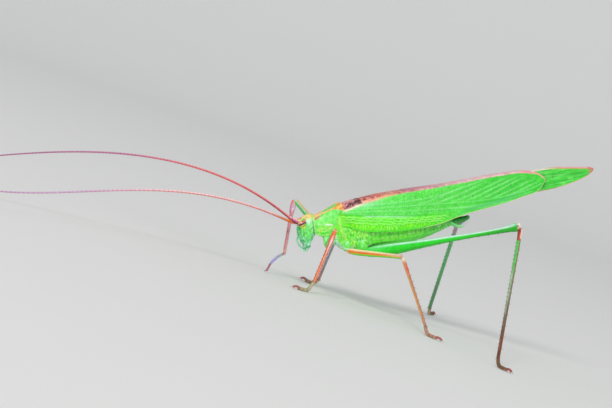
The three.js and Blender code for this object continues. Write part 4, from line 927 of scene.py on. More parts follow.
c = blend(c, CYANW, smooth(0.55, 0.72, nz) * 0.85)
c = blend(c, rgb(196, 210, 236), smooth(0.60, 0.76, noise(MV, 0.2, 63)) * 0.6)
c = blend(c, rgb(36, 112, 72), smooth(0.40, 0.22, nz) * 0.75)
# painted shade: the core, seen between the plates, darker as the gaps between them
c = blend(c, rgb(64, 148, 104), (mn == "core") * 0.7)
MV = MV + np.column_stack([-0.32 * smooth(-3.0, -4.0, MV[:, 2]) + 0.42 * np.clip((-5.30 - MV[:, 0]) / 1.10, 0, 1.1) * bell(MV[:, 2], -3.45, 0.55), 0 * MV[:, 0], 0.10 * smooth(-3.3, -4.1, MV[:, 2])])
make("mouth_plates", (MV, MQ, MT, {}), M_MOUTH, c, ["mouthparts"], extra={"fleck": np.ones(len(MV))})

PALPS = {
    "maxillary": ([[-5.66, 0.80, -2.86], [-6.14, 0.98, -2.42], [-6.66, 1.04, -2.04], [-6.93, 1.02, -2.26], [-6.86, 0.98, -2.82], [-6.60, 0.95, -3.42], [-6.22, 0.90, -3.94]], [0.18, 0.40, 0.70], 0.105),
    "labial": ([[-5.24, 0.50, -3.40], [-5.50, 0.66, -3.76], [-5.76, 0.62, -3.98], [-6.04, 0.54, -4.14]], [0.35, 0.68], 0.095),
}
for kind, (path, joints, r0) in PALPS.items():
    for side, nm in ((-1, "left"), (1, "right")):
        line = spaced(rope(np.array(path) * [1, side, 1] + np.array([0.26, 0, -0.16]) * (side > 0), per=20), 80)
        t, f = rounded(70, 0.02, 0.035)
        P = np.stack([np.interp(t, np.linspace(0, 1, 80), line[:, a]) for a in range(3)], -1)
        w = r0 * (0.92 + 0.32 * smooth(0.75, 0.98, t))
        for jt in joints:
            w = w * (1 - 0.30 * bell(t, jt, 0.016) + 0.14 * bell(t, jt - 0.035, 0.03))
        b = limb(P, w * f, w * f, [0.6, 0, 1], n=20)
        tt = b[3]["t"]
        c = np.tile(rgb(150, 224, 176), (len(tt), 1))
        c = blend(c, rgb(96, 204, 128), smooth(0.5, 0.1, tt))
        c = blend(c, rgb(206, 236, 226), smooth(0.65, 0.95, tt) * 0.7)
        for jt in joints:
            c = blend(c, rgb(70, 150, 110), bell(tt, jt, 0.014) * 0.7)
        make("palp_" + kind + "_" + nm + "_skin", b, M_MOUTH, c, ["palp_" + kind + "_" + nm], extra={"fleck": np.zeros(len(tt))})

# ------------------------------------------------------------------ feelers
ANTENNA = {
    "left": np.array([[-1.98, -1.77, 8.63], [-19.05, -8.02, 15.15], [-37.04, -27.74, 9.14], [-47.67, -42.43, 5.92]]),
    "right": np.array([[-1.85, -0.33, 8.07], [-23.99, -4.41, 10.76], [-36.66, -16.71, -2.40], [-54.44, -29.38, 1.10]]),
}


def bezier(B, t):
    t = np.asarray(t, float)[:, None]
    return B[0] * (1 - t) ** 3 + 3 * B[1] * t * (1 - t) ** 2 + 3 * B[2] * t * t * (1 - t) + B[3] * t ** 3


for side, nm in ((-1, "left"), (1, "right")):
    B = ANTENNA[nm]
    socket = stand([-6.12, side * 0.46, -0.16])
    p0 = bezier(B, [0.0])[0]
    # scape and pedicel
    t, f = rounded(50, 0.10, 0.04)
    P = socket + (p0 - socket) * (t * 1.04)[:, None]
    w = np.interp(t, [0, 0.15, 0.35, 0.60, 0.66, 0.70, 0.74, 0.90, 0.96, 1.0], [0.20, 0.27, 0.31, 0.30, 0.24, 0.17, 0.20, 0.225, 0.20, 0.17])
    b = limb(P, w * f, w * f, [0, 0, 1], n=28)
    tt, top = b[3]["t"], b[3]["s"]
    if nm == "left":
        c = np.tile(rgb(214, 110, 146), (len(tt), 1))
        # painted highlight on the upper side and painted shade on the underside
        c = blend(c, rgb(252, 212, 212), smooth(0.1, 0.8, top) * 0.8)
        c = blend(c, rgb(74, 16, 52), smooth(-0.05, -0.65, top) * 0.85)
        c = blend(c, rgb(96, 30, 90), smooth(0.16, 0.02, tt) * 0.8)
    else:
        c = np.tile(rgb(232, 128, 60), (len(tt), 1))
        # painted highlight: the upper side lighter
        c = blend(c, rgb(246, 180, 110), smooth(0.2, 0.9, top) * 0.7)
        c = blend(c, rgb(150, 50, 60), smooth(0.2, 0.02, tt) * 0.7)
    c = blend(c, rgb(110, 40, 60), bell(tt, 0.70, 0.02) * 0.8)
    make("feeler_" + nm + "_base", b, M_FEELER, c, ["antenna_" + nm + "_scape"], trunk=False)
    # the ringed thread, in three lengths
    fine = bezier(B, np.linspace(0, 1, 4001))
    arc = np.concatenate([[0], np.cumsum(np.linalg.norm(np.diff(fine, axis=0), axis=1))])
    total = arc[-1]
    marks = [0.0, 0.34, 0.68, 1.0]
    for kk in range(3):
        s0, s1 = np.interp(marks[kk], np.linspace(0, 1, 4001), arc), np.interp(marks[kk + 1], np.linspace(0, 1, 4001), arc)
        s = np.linspace(s0 - (0.05 if kk else -0.02), s1 - (0.0 if kk < 2 else 0.05), int((s1 - s0) / 0.065))
        P = np.stack([np.interp(s, arc, fine[:, a]) for a in range(3)], -1)
        g = s / total
        ringlen = 0.30 + 0.42 * smooth(0.02, 0.35, g)
        phase = np.cumsum(np.concatenate([[s0 / 0.55], np.diff(s) / ringlen[1:]]))
        fr = np.mod(phase, 1)
        w = lerp(0.185, 0.075, g ** 0.8) * (1 + 0.09 * smooth(0.2, 0.85, fr) - 0.10 * bell(fr, 0.0, 0.10) - 0.10 * bell(fr, 1.0, 0.06))
        if kk == 2:
            w[-3:] *= [0.9, 0.6, 0.2]
        b = limb(P, w, w, [0.1, 0.1, 1], n=12)
        fr_v = np.concatenate([np.repeat(fr, 12), fr[:1], fr[-1:]])
        g_v = np.concatenate([np.repeat(g, 12), g[:1], g[-1:]])
        top = b[3]["s"]
        if nm == "left":
            c = np.tile(rgb(226, 112, 118), (len(g_v), 1))
            # painted highlight on the upper side, painted shade on the underside near the base
            c = blend(c, rgb(248, 190, 186), smooth(0.0, 0.8, top) * 0.75)
            c = blend(c, rgb(84, 18, 40), smooth(-0.1, -0.7, top) * smooth(0.16, 0.04, g_v) * 0.85)
            c = blend(c, rgb(172, 124, 168), smooth(0.28, 0.60, g_v) * 0.75)
        else:
            c = np.tile(rgb(232, 146, 138), (len(g_v), 1))
            # painted highlight: the upper side lighter
            c = blend(c, rgb(255, 230, 234), smooth(-0.3, 0.5, top) * 0.9)
            c = blend(c, rgb(232, 120, 60), smooth(0.05, 0.0, g_v) * 0.7)
            c = blend(c, rgb(194, 164, 204), smooth(0.26, 0.60, g_v) * 0.75)
        c = blend(c, rgb(130, 52, 62), np.maximum(bell(fr_v, 0.0, 0.10), bell(fr_v, 1.0, 0.08)) * 0.40)
        c = blend(c, rgb(120, 70, 76), smooth(0.6, 1.0, g_v) * 0.20)
        make("feeler_%s_%d" % (nm, kk + 1), b, M_FEELER, c, ["antenna_%s_%d" % (nm, kk + 1)], trunk=False)

# ------------------------------------------------------------------ forewings
TEG = {
    "tip": 29.3,
    "ridge": curve([[0, 1.66], [1.4, 1.87], [3.2, 1.99], [6, 2.13], [9, 2.13], [14.5, 2.04], [18, 2.09], [21.5, 2.20], [24.6, 2.18], [26.3, 2.03], [27.6, 1.74], [28.4, 1.42], [28.95, 0.98], [29.2, 0.66], [29.3, 0.48]]),
    "low": curve([[-1.1, -1.05], [-0.4, -1.30], [0.5, -1.62], [1.2, -2.06], [2.2, -2.46], [4.7, -2.98], [7.5, -3.38], [10.4, -3.45], [13.3, -3.30], [16, -2.80], [17.8, -2.52], [20.5, -2.26], [22.3, -2.10], [24.1, -1.84], [26, -1.50], [27.5, -1.28], [28.35, -0.86], [28.95, -0.24], [29.2, 0.12], [29.3, 0.34]]),
    "half": curve([[0, 1.42], [1.5, 1.52], [4, 1.76], [8, 1.88], [12, 1.74], [16, 1.48], [20, 1.28], [24, 1.18], [29.3, 1.12]]),
    "hem": curve([[0, 1.80], [3, 2.02], [8, 2.04], [12, 1.86], [16, 1.64], [22, 1.38], [29.3, 1.18]]),
    "bend": curve([[0, 0.42], [4, 0.24], [9, 0.20], [20, 0.22], [29.3, 0.26]]),
}
# where the pink strip of the back gives way to the green side
STRIP = curve([[0, 0.84], [0.7, 0.90], [1.3, 1.04], [2.0, 1.22], [2.6, 1.34], [3.4, 1.42], [4.2, 1.48], [5.4, 1.66], [6.6, 1.80], [9, 1.87], [14.5, 1.82], [18, 1.87], [21.5, 1.95], [24.6, 1.93], [26.3, 1.76], [27.6, 1.46], [28.5, 1.12], [29.3, 0.38]])
FOLD = [[-0.95, 0.27], [-0.3, 0.20], [3.2, -0.45], [5.7, -0.87], [8.5, -1.35], [11.4, -1.69], [14.7, -1.97], [19.3, -2.19]]
# long veins on the side, each a line in (x, z)
LONG = [
    FOLD,
    [[-0.7, -0.06], [0.6, -0.30], [2.2, -0.62], [4.9, -1.17], [7.75, -1.64], [10.6, -1.99], [14.5, -2.32]],
    [[-0.8, -0.36], [0.7, -0.61], [3.5, -1.22], [7.7, -1.99], [10.6, -2.27], [14.0, -2.62]],
    [[-0.8, -0.74], [0.66, -1.02], [3.44, -1.63], [7.65, -2.34], [10.5, -2.55], [13.6, -2.86]],
    [[-0.6, 0.82], [0.6, 0.75], [4.0, 0.45], [8.0, 0.05], [12.0, -0.32], [16.0, -0.75], [20.0, -1.05], [24.0, -1.02], [27.4, -0.52], [28.7, -0.1]],
    [[0.8, 0.98], [4.0, 0.92], [8.0, 0.66], [12.5, 0.61], [15.1, 0.83], [19.2, 1.5], [20.6, 1.8]],
    [[-0.7, 0.52], [0.4, 0.42], [4.0, 0.02], [8.0, -0.55], [12.0, -1.05], [16.0, -1.45], [20.0, -1.62], [24.0, -1.42], [27.2, -1.0]],
]
FAN = [
    [[9.2, -0.06], [12.0, 0.14], [13.9, 0.55], [16.6, 1.15], [19.3, 1.62]],
    [[12.0, -0.32], [13.7, -0.20], [16.5, 0.35], [19.2, 1.05], [21.6, 1.80]],
    [[14.5, -0.60], [16.6, -0.34], [19.6, 0.42], [22.9, 1.30], [24.6, 1.75]],
    [[16.8, -0.83], [18.6, -0.50], [21.2, 0.25], [24.2, 1.10], [26.0, 1.55]],
    [[18.8, -0.96], [20.6, -0.60], [23.0, 0.15], [25.3, 0.90], [27.2, 1.30]],
    [[20.8, -1.04], [22.8, -0.66], [25.2, 0.02], [27.9, 0.80]],
    [[22.8, -1.05], [24.8, -0.72], [27.0, -0.10], [28.8, 0.40]],
    [[14.0, -1.28], [17.0, -1.60], [20.0, -1.98], [22.5, -2.02]],
    [[18.5, -1.58], [21.5, -1.80], [24.5, -1.72]],
]


# the wing's front edge, from the ridge down to the hem
BASE = curve([[0, -0.12], [0.38, -0.16], [0.54, -0.52], [0.70, -0.85], [0.86, -0.80], [1.0, -0.30]])


def forewing(side):
    nu, nv = ((430, 100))
    u = np.linspace(0, 1, nu)
    rings, inner, B = [], [], []
    d_in = 0.11
    for uu in u:
        # the base edge slants: the hem starts further back than the ridge
        def sec(d):
            vv = np.linspace(0, 1, 41)
            xs = lerp(BASE(vv), TEG["tip"], 1 - (1 - uu) ** 1.25)
            out = np.empty((41, 3))
            for i in range(41):
                X = xs[i]
                r, l, h, m, b = TEG["ridge"](X), TEG["low"](X), TEG["half"](X) - d, TEG["hem"](X) - d, TEG["bend"](X)
                s = min(1, max(0, (r - l) / 3.2))
                top, y0 = r - d * s, lerp(h, 0.035, s)
                pts = [[y0, top], [lerp(y0, h, 0.45), top - 0.03 * s], [lerp(y0, h, 0.84), top - b * 0.6 * s], [h, top - (b + 0.45) * s], [lerp(h, m, 0.42), lerp(top, l, 0.52)], [m, l]]
                out[i, 0] = X
                key = (round(float(X), 4), d)
                if key not in cache:
                    cache[key] = rope(pts, False, 8)
                out[i, 1:] = cache[key][i]
            return out
        cache = {}
        a, b_ = sec(0.0), sec(d_in)
        s = np.concatenate([[0], np.cumsum(np.linalg.norm(np.diff(a, axis=0), axis=1))])
        q = np.linspace(0, s[-1], nv)
        rings.append(np.stack([np.interp(q, s, a[:, k]) for k in range(3)], -1))
        inner.append(np.stack([np.interp(q, s, b_[:, k]) for k in range(3)], -1))
    O, I = np.array(rings), np.array(inner)
    return O, I


O, I = forewing(1)
nu, nv = O.shape[:2]
# at its root the wing runs into the side of the thorax instead of standing off it
tree = BVHTree.FromPolygons(SV.tolist(), SF.tolist())
root_x = O[:1, :, 0].copy()
near_root = int(np.sum((O[..., 0] - root_x).min(axis=1) < 2.4))
zg = np.linspace(O[:near_root, :, 2].min() - 0.3, O[:near_root, :, 2].max() + 0.3, 90)
push = np.zeros((near_root, len(zg)))
for i in range(near_root):
    side_y = np.full(len(zg), -9.0)
    for k in range(nv - 1):
        lo_z, hi_z = sorted((O[i, k, 2], O[i, k + 1, 2]))
        on = (zg >= lo_z - 0.03) & (zg <= hi_z + 0.03)
        side_y[on] = np.maximum(side_y[on], max(O[i, k, 1], O[i, k + 1, 1]))
    xi = float(np.median(O[i, :, 0]))
    for m, zz in enumerate(zg):
        h = tree.ray_cast(Vector((xi, 4.0, zz)), Vector((0, -1, 0)))[0]
        if side_y[m] > 0 and h is not None and h[1] > 0.3:
            push[i, m] = max(0.0, side_y[m] - (h[1] - 0.07))
for _ in range(8):
    push[:, 1:-1] = (push[:, :-2] + 2 * push[:, 1:-1] + push[:, 2:]) / 4
for _ in range(4):
    push[1:-1] = (push[:-2] + 2 * push[1:-1] + push[2:]) / 4
# both faces move by the same amount at the same height, so that the inner one stays inside
for face in (O, I):
    for i in range(near_root):
        zz, bk = face[i, :, 2], face[i, :, 0] - root_x[0]
        face[i, :, 1] -= np.interp(zz, zg, push[i]) * (1 - smooth(0.1, 1.1 + 0.9 * smooth(0.9, -0.2, zz), bk)) * smooth(0.25, 0.7, face[i, :, 1])
X, Y, Z = O[..., 0], O[..., 1], O[..., 2]
n_out = np.cross(np.gradient(O, axis=0), np.gradient(O, axis=1))
n_out /= np.maximum(np.linalg.norm(n_out, axis=2), 1e-9)[..., None]
if n_out[nu // 2, int(nv * 0.6), 1] < 0:
    n_out = -n_out
arcv = np.concatenate([np.zeros((nu, 1)), np.cumsum(np.linalg.norm(np.diff(O, axis=1), axis=2), axis=1)], 1)
edge_n = noise(np.stack([X * 1.4, 0 * X, Z], -1), 0.3, 79)
dorsal = smooth(STRIP(X) - 0.07, STRIP(X) + 0.07, Z + 0.12 * (edge_n - 0.5))
onside = 1 - dorsal
vein = np.zeros((nu, nv))
for line in LONG:
    vein = np.maximum(vein, np.exp(-(to_line(X, Z, spaced(rope(line), 60))[0] / 0.075) ** 2))
pale = np.zeros((nu, nv))
for line in FAN:
    dd, al = to_line(X, Z, spaced(rope(line), 50))
    pale = np.maximum(pale, np.exp(-(dd / 0.155) ** 2) * smooth(0, 0.25, al) * smooth(1.05, 0.7, al))
P3 = np.stack([X, Y * 0, Z], -1)
nA = noise(P3, 1.1, 71)
# cross-veins: slim bars standing between the long veins
band = np.zeros((nu, nv))
for line in LONG[:4] + LONG[4:5]:
    Lc = curve(spaced(rope(line), 30).tolist())
    band += (Z > Lc(X))
barx = np.mod((X + 0.22 * nA) / 0.33 + band * 0.37 + 0.12 * np.sin(Z * 9), 1)
bars = np.exp(-((barx - 0.5) / 0.15) ** 2)
wide = np.mod((X + 0.62 * nA) / 0.47 + 0.20 * np.sin(Z * 7 + X * 1.7), 1)
wide = np.exp(-((wide - 0.5) / 0.22) ** 2) * (0.15 + 1.15 * noise(P3 * [1, 1, 0.8], 0.42, 77))
fine_n = 0.55 * noise(P3 * [0.42, 1, 1.15], 0.13, 78) + 0.45 * noise(P3 * [1.3, 1, 0.45], 0.16, 80)
fold = np.array(FOLD)
zf = curve(FOLD)(X)
hemz = TEG["low"](X)
yellow = onside * smooth(hemz + 1.45, hemz + 0.75, Z) * smooth(hemz + 0.18, hemz + 0.42, Z) * smooth(-0.4, 1.4, X) * smooth(15.5, 9.0, X)
lowband = onside * smooth(zf + 0.1, zf - 0.1, Z) * smooth(17.5, 10, X)
H = 0.026 * vein * onside + 0.030 * pale * onside + 0.014 * bars * onside * (0.45 + 0.6 * lowband) * smooth(29, 27, X) + 0.022 * wide * yellow
H += 0.045 * bell(Z, zf + 0.03, 0.09) * onside * smooth(15, 11, X) - 0.035 * bell(Z, zf - 0.16, 0.10) * onside * smooth(15, 11, X)
H += 0.035 * np.exp(-((Z - hemz - 0.05) / 0.08) ** 2)
H += 0.05 * (noise(np.stack([X * 0.5, Y * 0, Z], -1), 0.9, 72) - 0.5) * onside
# the singing area at the base of the back: raised ridges round a clear cell
strid = dorsal * smooth(2.72, 2.50, X + 0.3 * (Z - 1.7)) * smooth(0.1, 0.3, X)
ridges = np.exp(-((np.abs(np.mod(X * 1.25 + 0.6 * Y, 1) - 0.5)) / 0.14) ** 2)
H += strid * (0.07 * ridges + 0.05 * bell(X, 2.60, 0.10)) + dorsal * 0.05 * bell(Z, STRIP(X) + 0.02, 0.10) * smooth(7, 3, X)
strip_vein = np.exp(-((np.mod(arcv / 0.36 + 0.06 * X, 1) - 0.5) / 0.13) ** 2) * dorsal * (1 - strid)
H += 0.018 * strip_vein
edge_fade = np.minimum(smooth(0, 0.02, np.linspace(0, 1, nu))[:, None] * smooth(1, 0.985, np.linspace(0, 1, nu))[:, None], 1) + 0 * X
H = H * edge_fade
H -= 0.02
Oo = O + n_out * H[..., None]
# tone
wc = np.tile(rgb(122, 230, 114), (nu, nv, 1))
wc = blend(wc, rgb(128, 236, 128), smooth(0.6, 0.3, np.abs(Z - 0.5)) * 0.4)
wc = blend(wc, rgb(104, 216, 94), smooth(7, 12, X) * 0.75)
wc = blend(wc, rgb(76, 198, 74), smooth(15, 23, X) * 0.85)
wc = blend(wc, rgb(124, 246, 82), lowband * 0.8)
wc = blend(wc, rgb(142, 250, 72), lowband * smooth(8.5, 2, X) * 0.35)
wc = blend(wc, rgb(186, 250, 80), yellow * np.minimum(wide, 1) * 0.66)
wc = blend(wc, rgb(104, 214, 56), yellow * smooth(0.35, 0.1, wide) * 0.5)
wc = blend(wc, rgb(222, 226, 84), yellow * smooth(0.75, 1.1, wide) * 0.28)
wc = blend(wc, rgb(84, 206, 80), onside * bars * lerp(0.30, 0.42, bell(X, 9.0, 4.5)) * (1 - lowband))
wc = blend(wc, rgb(96, 222, 62), lowband * (1 - yellow) * smooth(0.35, 0.1, bars) * 0.20)
wc = blend(wc, rgb(172, 250, 164), onside * smooth(0.56, 0.78, fine_n) * lerp(0.36, 0.18, smooth(12, 18, X)))
wc = blend(wc, rgb(70, 190, 68), onside * smooth(0.44, 0.24, fine_n) * 0.30)
wc = blend(wc, rgb(176, 252, 116), onside * smooth(0.6, -0.5, X) * smooth(0.9, 0.5, Z) * (0.25 + 0.5 * nA))
wc = blend(wc, rgb(170, 244, 190), (1 - lowband) * onside * bell(X, 3.2, 2.0) * smooth(0.4, 1.0, Z) * 0.6)
wc = blend(wc, rgb(66, 176, 72), onside * bell(Z, zf + 0.07, 0.08) * smooth(15, 9, X) * 0.60)
wc = blend(wc, rgb(206, 255, 224), onside * bell(Z, zf - 0.09, 0.085) * smooth(2.0, 3.4, X) * smooth(11.0, 7.5, X) * 0.85)
for k_, line in enumerate(LONG[1:4]):
    sway = 0.06 * np.sin(X * 6.6 + k_ * 2.3) + 0.05 * np.sin(X * 3.1 + k_)
    dd, al = to_line(X, Z + sway, spaced(rope(line), 60))
    wc = blend(wc, rgb(190, 255, 160), onside * np.exp(-(dd / 0.08) ** 2) * 0.60)
    # painted shade: a darker line just below each raised long vein
    dd, al = to_line(X, Z + 0.13 + sway, spaced(rope(line), 60))
    wc = blend(wc, rgb(72, 196, 56), onside * np.exp(-(dd / 0.07) ** 2) * 0.45)
wc = blend(wc, rgb(70, 176, 70), onside * bell(Z, hemz + 0.14, 0.09) * smooth(0.2, 1.6, X) * smooth(14, 11, X) * 0.55)
wc = blend(wc, rgb(164, 244, 160), onside * pale * 0.56 * (0.55 + 0.6 * nA))
# painted shade: darker along one side of each pale fan vein
wc = blend(wc, rgb(56, 176, 60), onside * np.clip(np.roll(pale, -2, 1) - pale, 0, 1) * 0.4)
for line in LONG[4:]:
    dd, al = to_line(X, Z, spaced(rope(line), 60))
    wc = blend(wc, rgb(166, 246, 166), onside * np.exp(-(dd / 0.10) ** 2) * 0.36)
    # painted shade: a darker line just below each of these veins
    dd, al = to_line(X, Z + 0.18, spaced(rope(line), 60))
    wc = blend(wc, rgb(84, 206, 90), onside * np.exp(-(dd / 0.10) ** 2) * 0.20)
wc = blend(wc, rgb(84, 176, 110), onside * bell(Z, hemz + 0.55, 0.28) * smooth(14, 19, X) * smooth(27, 23, X) * 0.5)
for px, pz in ((24.23, 0.43), (20.81, 1.14), (15.83, -1.02), (8.84, 1.40), (5.2, 0.7), (10.4, 0.95), (12.8, -0.6), (18.6, -0.2), (22.4, -0.5), (3.6, 0.35), (26.4, 0.2)):
    wc = blend(wc, rgb(40, 90, 50), np.exp(-(np.hypot(X - px, Z - pz) / 0.075) ** 2) * 0.75)
# hem and apex margins
wc = blend(wc, rgb(240, 222, 186), np.exp(-((Z - hemz) / 0.07) ** 2) * smooth(9.5, 12, X) * 0.85)
ridz = TEG["ridge"](X)
uu = np.broadcast_to(np.linspace(0, 1, nu)[:, None], (nu, nv))
wc = blend(wc, rgb(236, 110, 92), smooth(0.986, 0.999, uu) * smooth(-0.3, 0.4, Z) * 0.8)
wc = blend(wc, rgb(186, 206, 130), smooth(0.990, 0.999, uu) * smooth(0.1, -0.5, Z) * 0.6)

# strip along the back
across_y = Z + Y
wx, wz = noise(np.stack([X, 0 * X, across_y], -1), 0.45, 101) - 0.5, noise(np.stack([X, 0 * X, across_y], -1), 0.45, 102) - 0.5
PW = np.stack([X * 0.80 + across_y * 0.60 + 0.55 * wx, 0 * X, across_y * 0.80 - X * 0.60 + 0.55 * wz], -1)
PL = np.stack([X * 0.45 + 0.5 * wx + 0.22 * across_y, 0 * X, across_y * 1.9 - 0.16 * X + 0.6 * wz], -1)
strip_c = np.tile(rgb(202, 128, 142), (nu, nv, 1))
strip_c = blend(strip_c, rgb(238, 130, 92), smooth(10, 4.5, X))
long_n = noise(PL, 0.34, 73)
strip_c = blend(strip_c, rgb(158, 76, 84), smooth(0.46, 0.66, long_n) * smooth(13, 6, X) * 0.75)
strip_c = blend(strip_c, rgb(150, 78, 96), smooth(0.56, 0.74, long_n) * smooth(6, 13, X) * smooth(24, 14, X) * 0.6)
strip_c = blend(strip_c, rgb(246, 206, 196), smooth(0.52, 0.72, noise(PW, 0.24, 74)) * (0.35 + 0.35 * smooth(8, 16, X)))
strip_c = blend(strip_c, rgb(120, 44, 72), smooth(0.50, 0.64, noise(PW, 0.36, 83)) * smooth(STRIP(X) + 0.06, STRIP(X) + 0.20, Z) * smooth(2.6, 3.2, X) * smooth(12, 5, X) * 0.75)
strip_c = blend(strip_c, rgb(240, 206, 212), smooth(10, 19, X) * (0.45 + 0.5 * noise(PW, 0.5, 84)))
strip_c = blend(strip_c, rgb(248, 158, 164), smooth(25.2, 27.0, X) * 0.85)
strip_c = blend(strip_c, rgb(246, 172, 140), smooth(STRIP(X) + 0.44, STRIP(X) + 0.14, Z) * smooth(9.5, 6.0, X) * (0.65 + 0.3 * wx))
strip_c = blend(strip_c, rgb(255, 206, 176), smooth(STRIP(X) + 0.36, STRIP(X) + 0.20, Z) * smooth(STRIP(X) + 0.02, STRIP(X) + 0.16, Z) * smooth(0.45, 0.62, noise(PW, 0.3, 103)) * smooth(9.5, 6.0, X) * 0.6)
strip_c = blend(strip_c, rgb(170, 84, 92), strip_vein * 0.25)
wc = blend(wc, strip_c, dorsal)
wc = blend(wc, rgb(240, 192, 158), np.exp(-((Z - STRIP(X) + 0.02) / 0.14) ** 2) * smooth(2.4, 3.2, X) * smooth(9.0, 5.0, X) * (0.2 + 0.5 * noise(P3, 0.5, 85)))
wc = blend(wc, rgb(246, 224, 200), np.exp(-((Z - STRIP(X) + 0.04) / 0.10) ** 2) * smooth(6.5, 3.0, X) * (0.1 + 0.5 * noise(P3, 0.35, 86)))
wc = blend(wc, rgb(252, 230, 212), np.exp(-((Z - STRIP(X) + 0.14) / 0.15) ** 2) * smooth(4.0, 2.4, X) * smooth(-0.3, 0.3, X) * 0.85)
sc = np.tile(rgb(222, 162, 160), (nu, nv, 1))
sc = blend(sc, rgb(182, 104, 110), smooth(0.42, 0.6, noise(PW, 0.24, 76)) * 0.7)
sc = blend(sc, rgb(246, 190, 190), bell(Z, STRIP(X) + 0.24, 0.10) * smooth(1.2, 1.6, X) * smooth(2.3, 1.9, X) * 0.8)
for bx, bz, bw in ((0.86, 1.36, 0.15), (1.18, 1.60, 0.15), (1.52, 1.36, 0.17), (2.02, 1.74, 0.20), (2.36, 1.66, 0.24), (2.66, 1.80, 0.16), (0.62, 1.62, 0.10), (1.0, 1.50, 0.14), (1.80, 1.50, 0.16)):
    sc = blend(sc, rgb(66, 24, 34), smooth(0.15, 0.75, np.exp(-(np.hypot((X - bx) / 1.25, Z - bz) / bw) ** 2)) * 0.95)
sc = blend(sc, rgb(112, 58, 64), smooth(1.75, 2.15, X + 0.3 * wx) * smooth(0.22, 0.50, noise(PW, 0.22, 104)) * 0.85)
sc = blend(sc, rgb(236, 200, 204), smooth(0.60, 0.76, noise(PW, 0.16, 75)) * 0.5)
sc = blend(sc, rgb(120, 56, 72), bell(Z, STRIP(X) + 0.10, 0.08) * smooth(1.5, 1.1, X) * 0.8)
wc = blend(wc, sc, strid)
wc = blend(wc, rgb(66, 22, 34), strid * bell(Z, curve([[0.3, 1.02], [1.1, 1.34], [1.72, 1.64], [2.3, 1.74], [2.6, 1.86]])(X) + 0.10 * wx, 0.10) * (0.6 + 0.8 * wz + 0.3) * smooth(0.3, 0.7, X))
wc = blend(wc, rgb(70, 26, 36), dorsal * bell(X + 0.3 * (Z - 1.7) + 0.3 * wx, 2.56, 0.13) * 0.85)
# painted shade: the inner face takes the outer colours darkened
back = blend(wc * 0.75, rgb(92, 190, 84), 0.5 * np.ones((nu, nv)))

idx = np.arange(nu * nv).reshape(nu, nv)
a, b, c_, d = idx[:-1, :-1], idx[1:, :-1], idx[1:, 1:], idx[:-1, 1:]
top_q = np.stack([a, b, c_, d], -1).reshape(-1, 4)
n0 = nu * nv
bot_q = top_q[:, ::-1] + n0
rim = np.concatenate([idx[:-1, 0], idx[-1, :-1], idx[1:, -1][::-1], idx[0, 1:][::-1]])
rim_q = np.stack([np.roll(rim, -1), rim, rim + n0, np.roll(rim, -1) + n0], -1)
WQ = np.concatenate([top_q, bot_q, rim_q])
WT = np.zeros((0, 3), int)
Cw = np.concatenate([wc.reshape(-1, 3), back.reshape(-1, 3)])
netm = np.concatenate([(onside * 0.9 + dorsal * 0.5).ravel(), np.full(nu * nv, 0.4)])
# the inner face follows the outer one at a steady depth
In = I + n_out * (H * 0.6)[..., None]
for side, nm in ((-1, "left"), (1, "right")):
    Wv = np.concatenate([Oo.reshape(-1, 3), In.reshape(-1, 3)]) * [1, side, 1]
    make("forewing_" + nm, (Wv, WQ, WT, {}), M_WING, Cw, ["tegmen_" + nm], extra={"net": netm})

# ------------------------------------------------------------------ hind wings
HIND = {
    "top": curve([[5, 1.02], [10, 1.26], [20, 1.32], [24, 1.38], [26.4, 1.58], [28.5, 1.76], [30.5, 1.74], [32.8, 1.46], [34.6, 1.16], [35.9, 0.96], [36.4, 0.84], [36.66, 0.64]]),
    "low": curve([[5, 0.60], [10, 0.05], [14, -0.90], [18, -1.75], [22, -1.60], [26, -1.36], [29.6, -1.28], [31.4, -1.15], [33.2, -0.86], [35.1, -0.42], [36.0, 0.0], [36.4, 0.26], [36.66, 0.48]]),
    "off": curve([[5, 0.86], [12, 0.80], [20, 0.64], [28, 0.57], [36.5, 0.55]]),
}
nu, nv = ((360, 56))
u = np.linspace(0, 1, nu)
X = lerp(5.05, 36.62, 1 - (1 - u) ** 1.3)[:, None] + np.zeros((nu, nv))
v = np.linspace(0, 1, nv)[None, :]
Z = lerp(HIND["top"](X) - 0.01, HIND["low"](X) + 0.01, v)
tipk = smooth(35.2, 36.5, X)
pleat = np.abs(np.mod(v * 7 + 0.2 * np.sin(X * 0.7), 1) - 0.5) * 2
lon = np.exp(-((np.mod(v * 7 + 0.2 * np.sin(X * 0.7), 1) - 0.5) / 0.16) ** 2)
yo = HIND["off"](X) - 0.05 + 0.035 * (pleat - 0.5) * (1 - tipk)
yi = HIND["off"](X) - 0.22 + 0.035 * (pleat - 0.5) * (1 - tipk)
P3 = np.stack([X, 0 * X, Z], -1)
hc = np.tile(rgb(92, 208, 88), (nu, nv, 1))
hc = blend(hc, rgb(126, 226, 122), lon * 0.5)
hc = blend(hc, rgb(60, 164, 64), smooth(0.50, 0.74, noise(P3 * [0.10, 1, 1.2], 0.20, 81)) * 0.5)
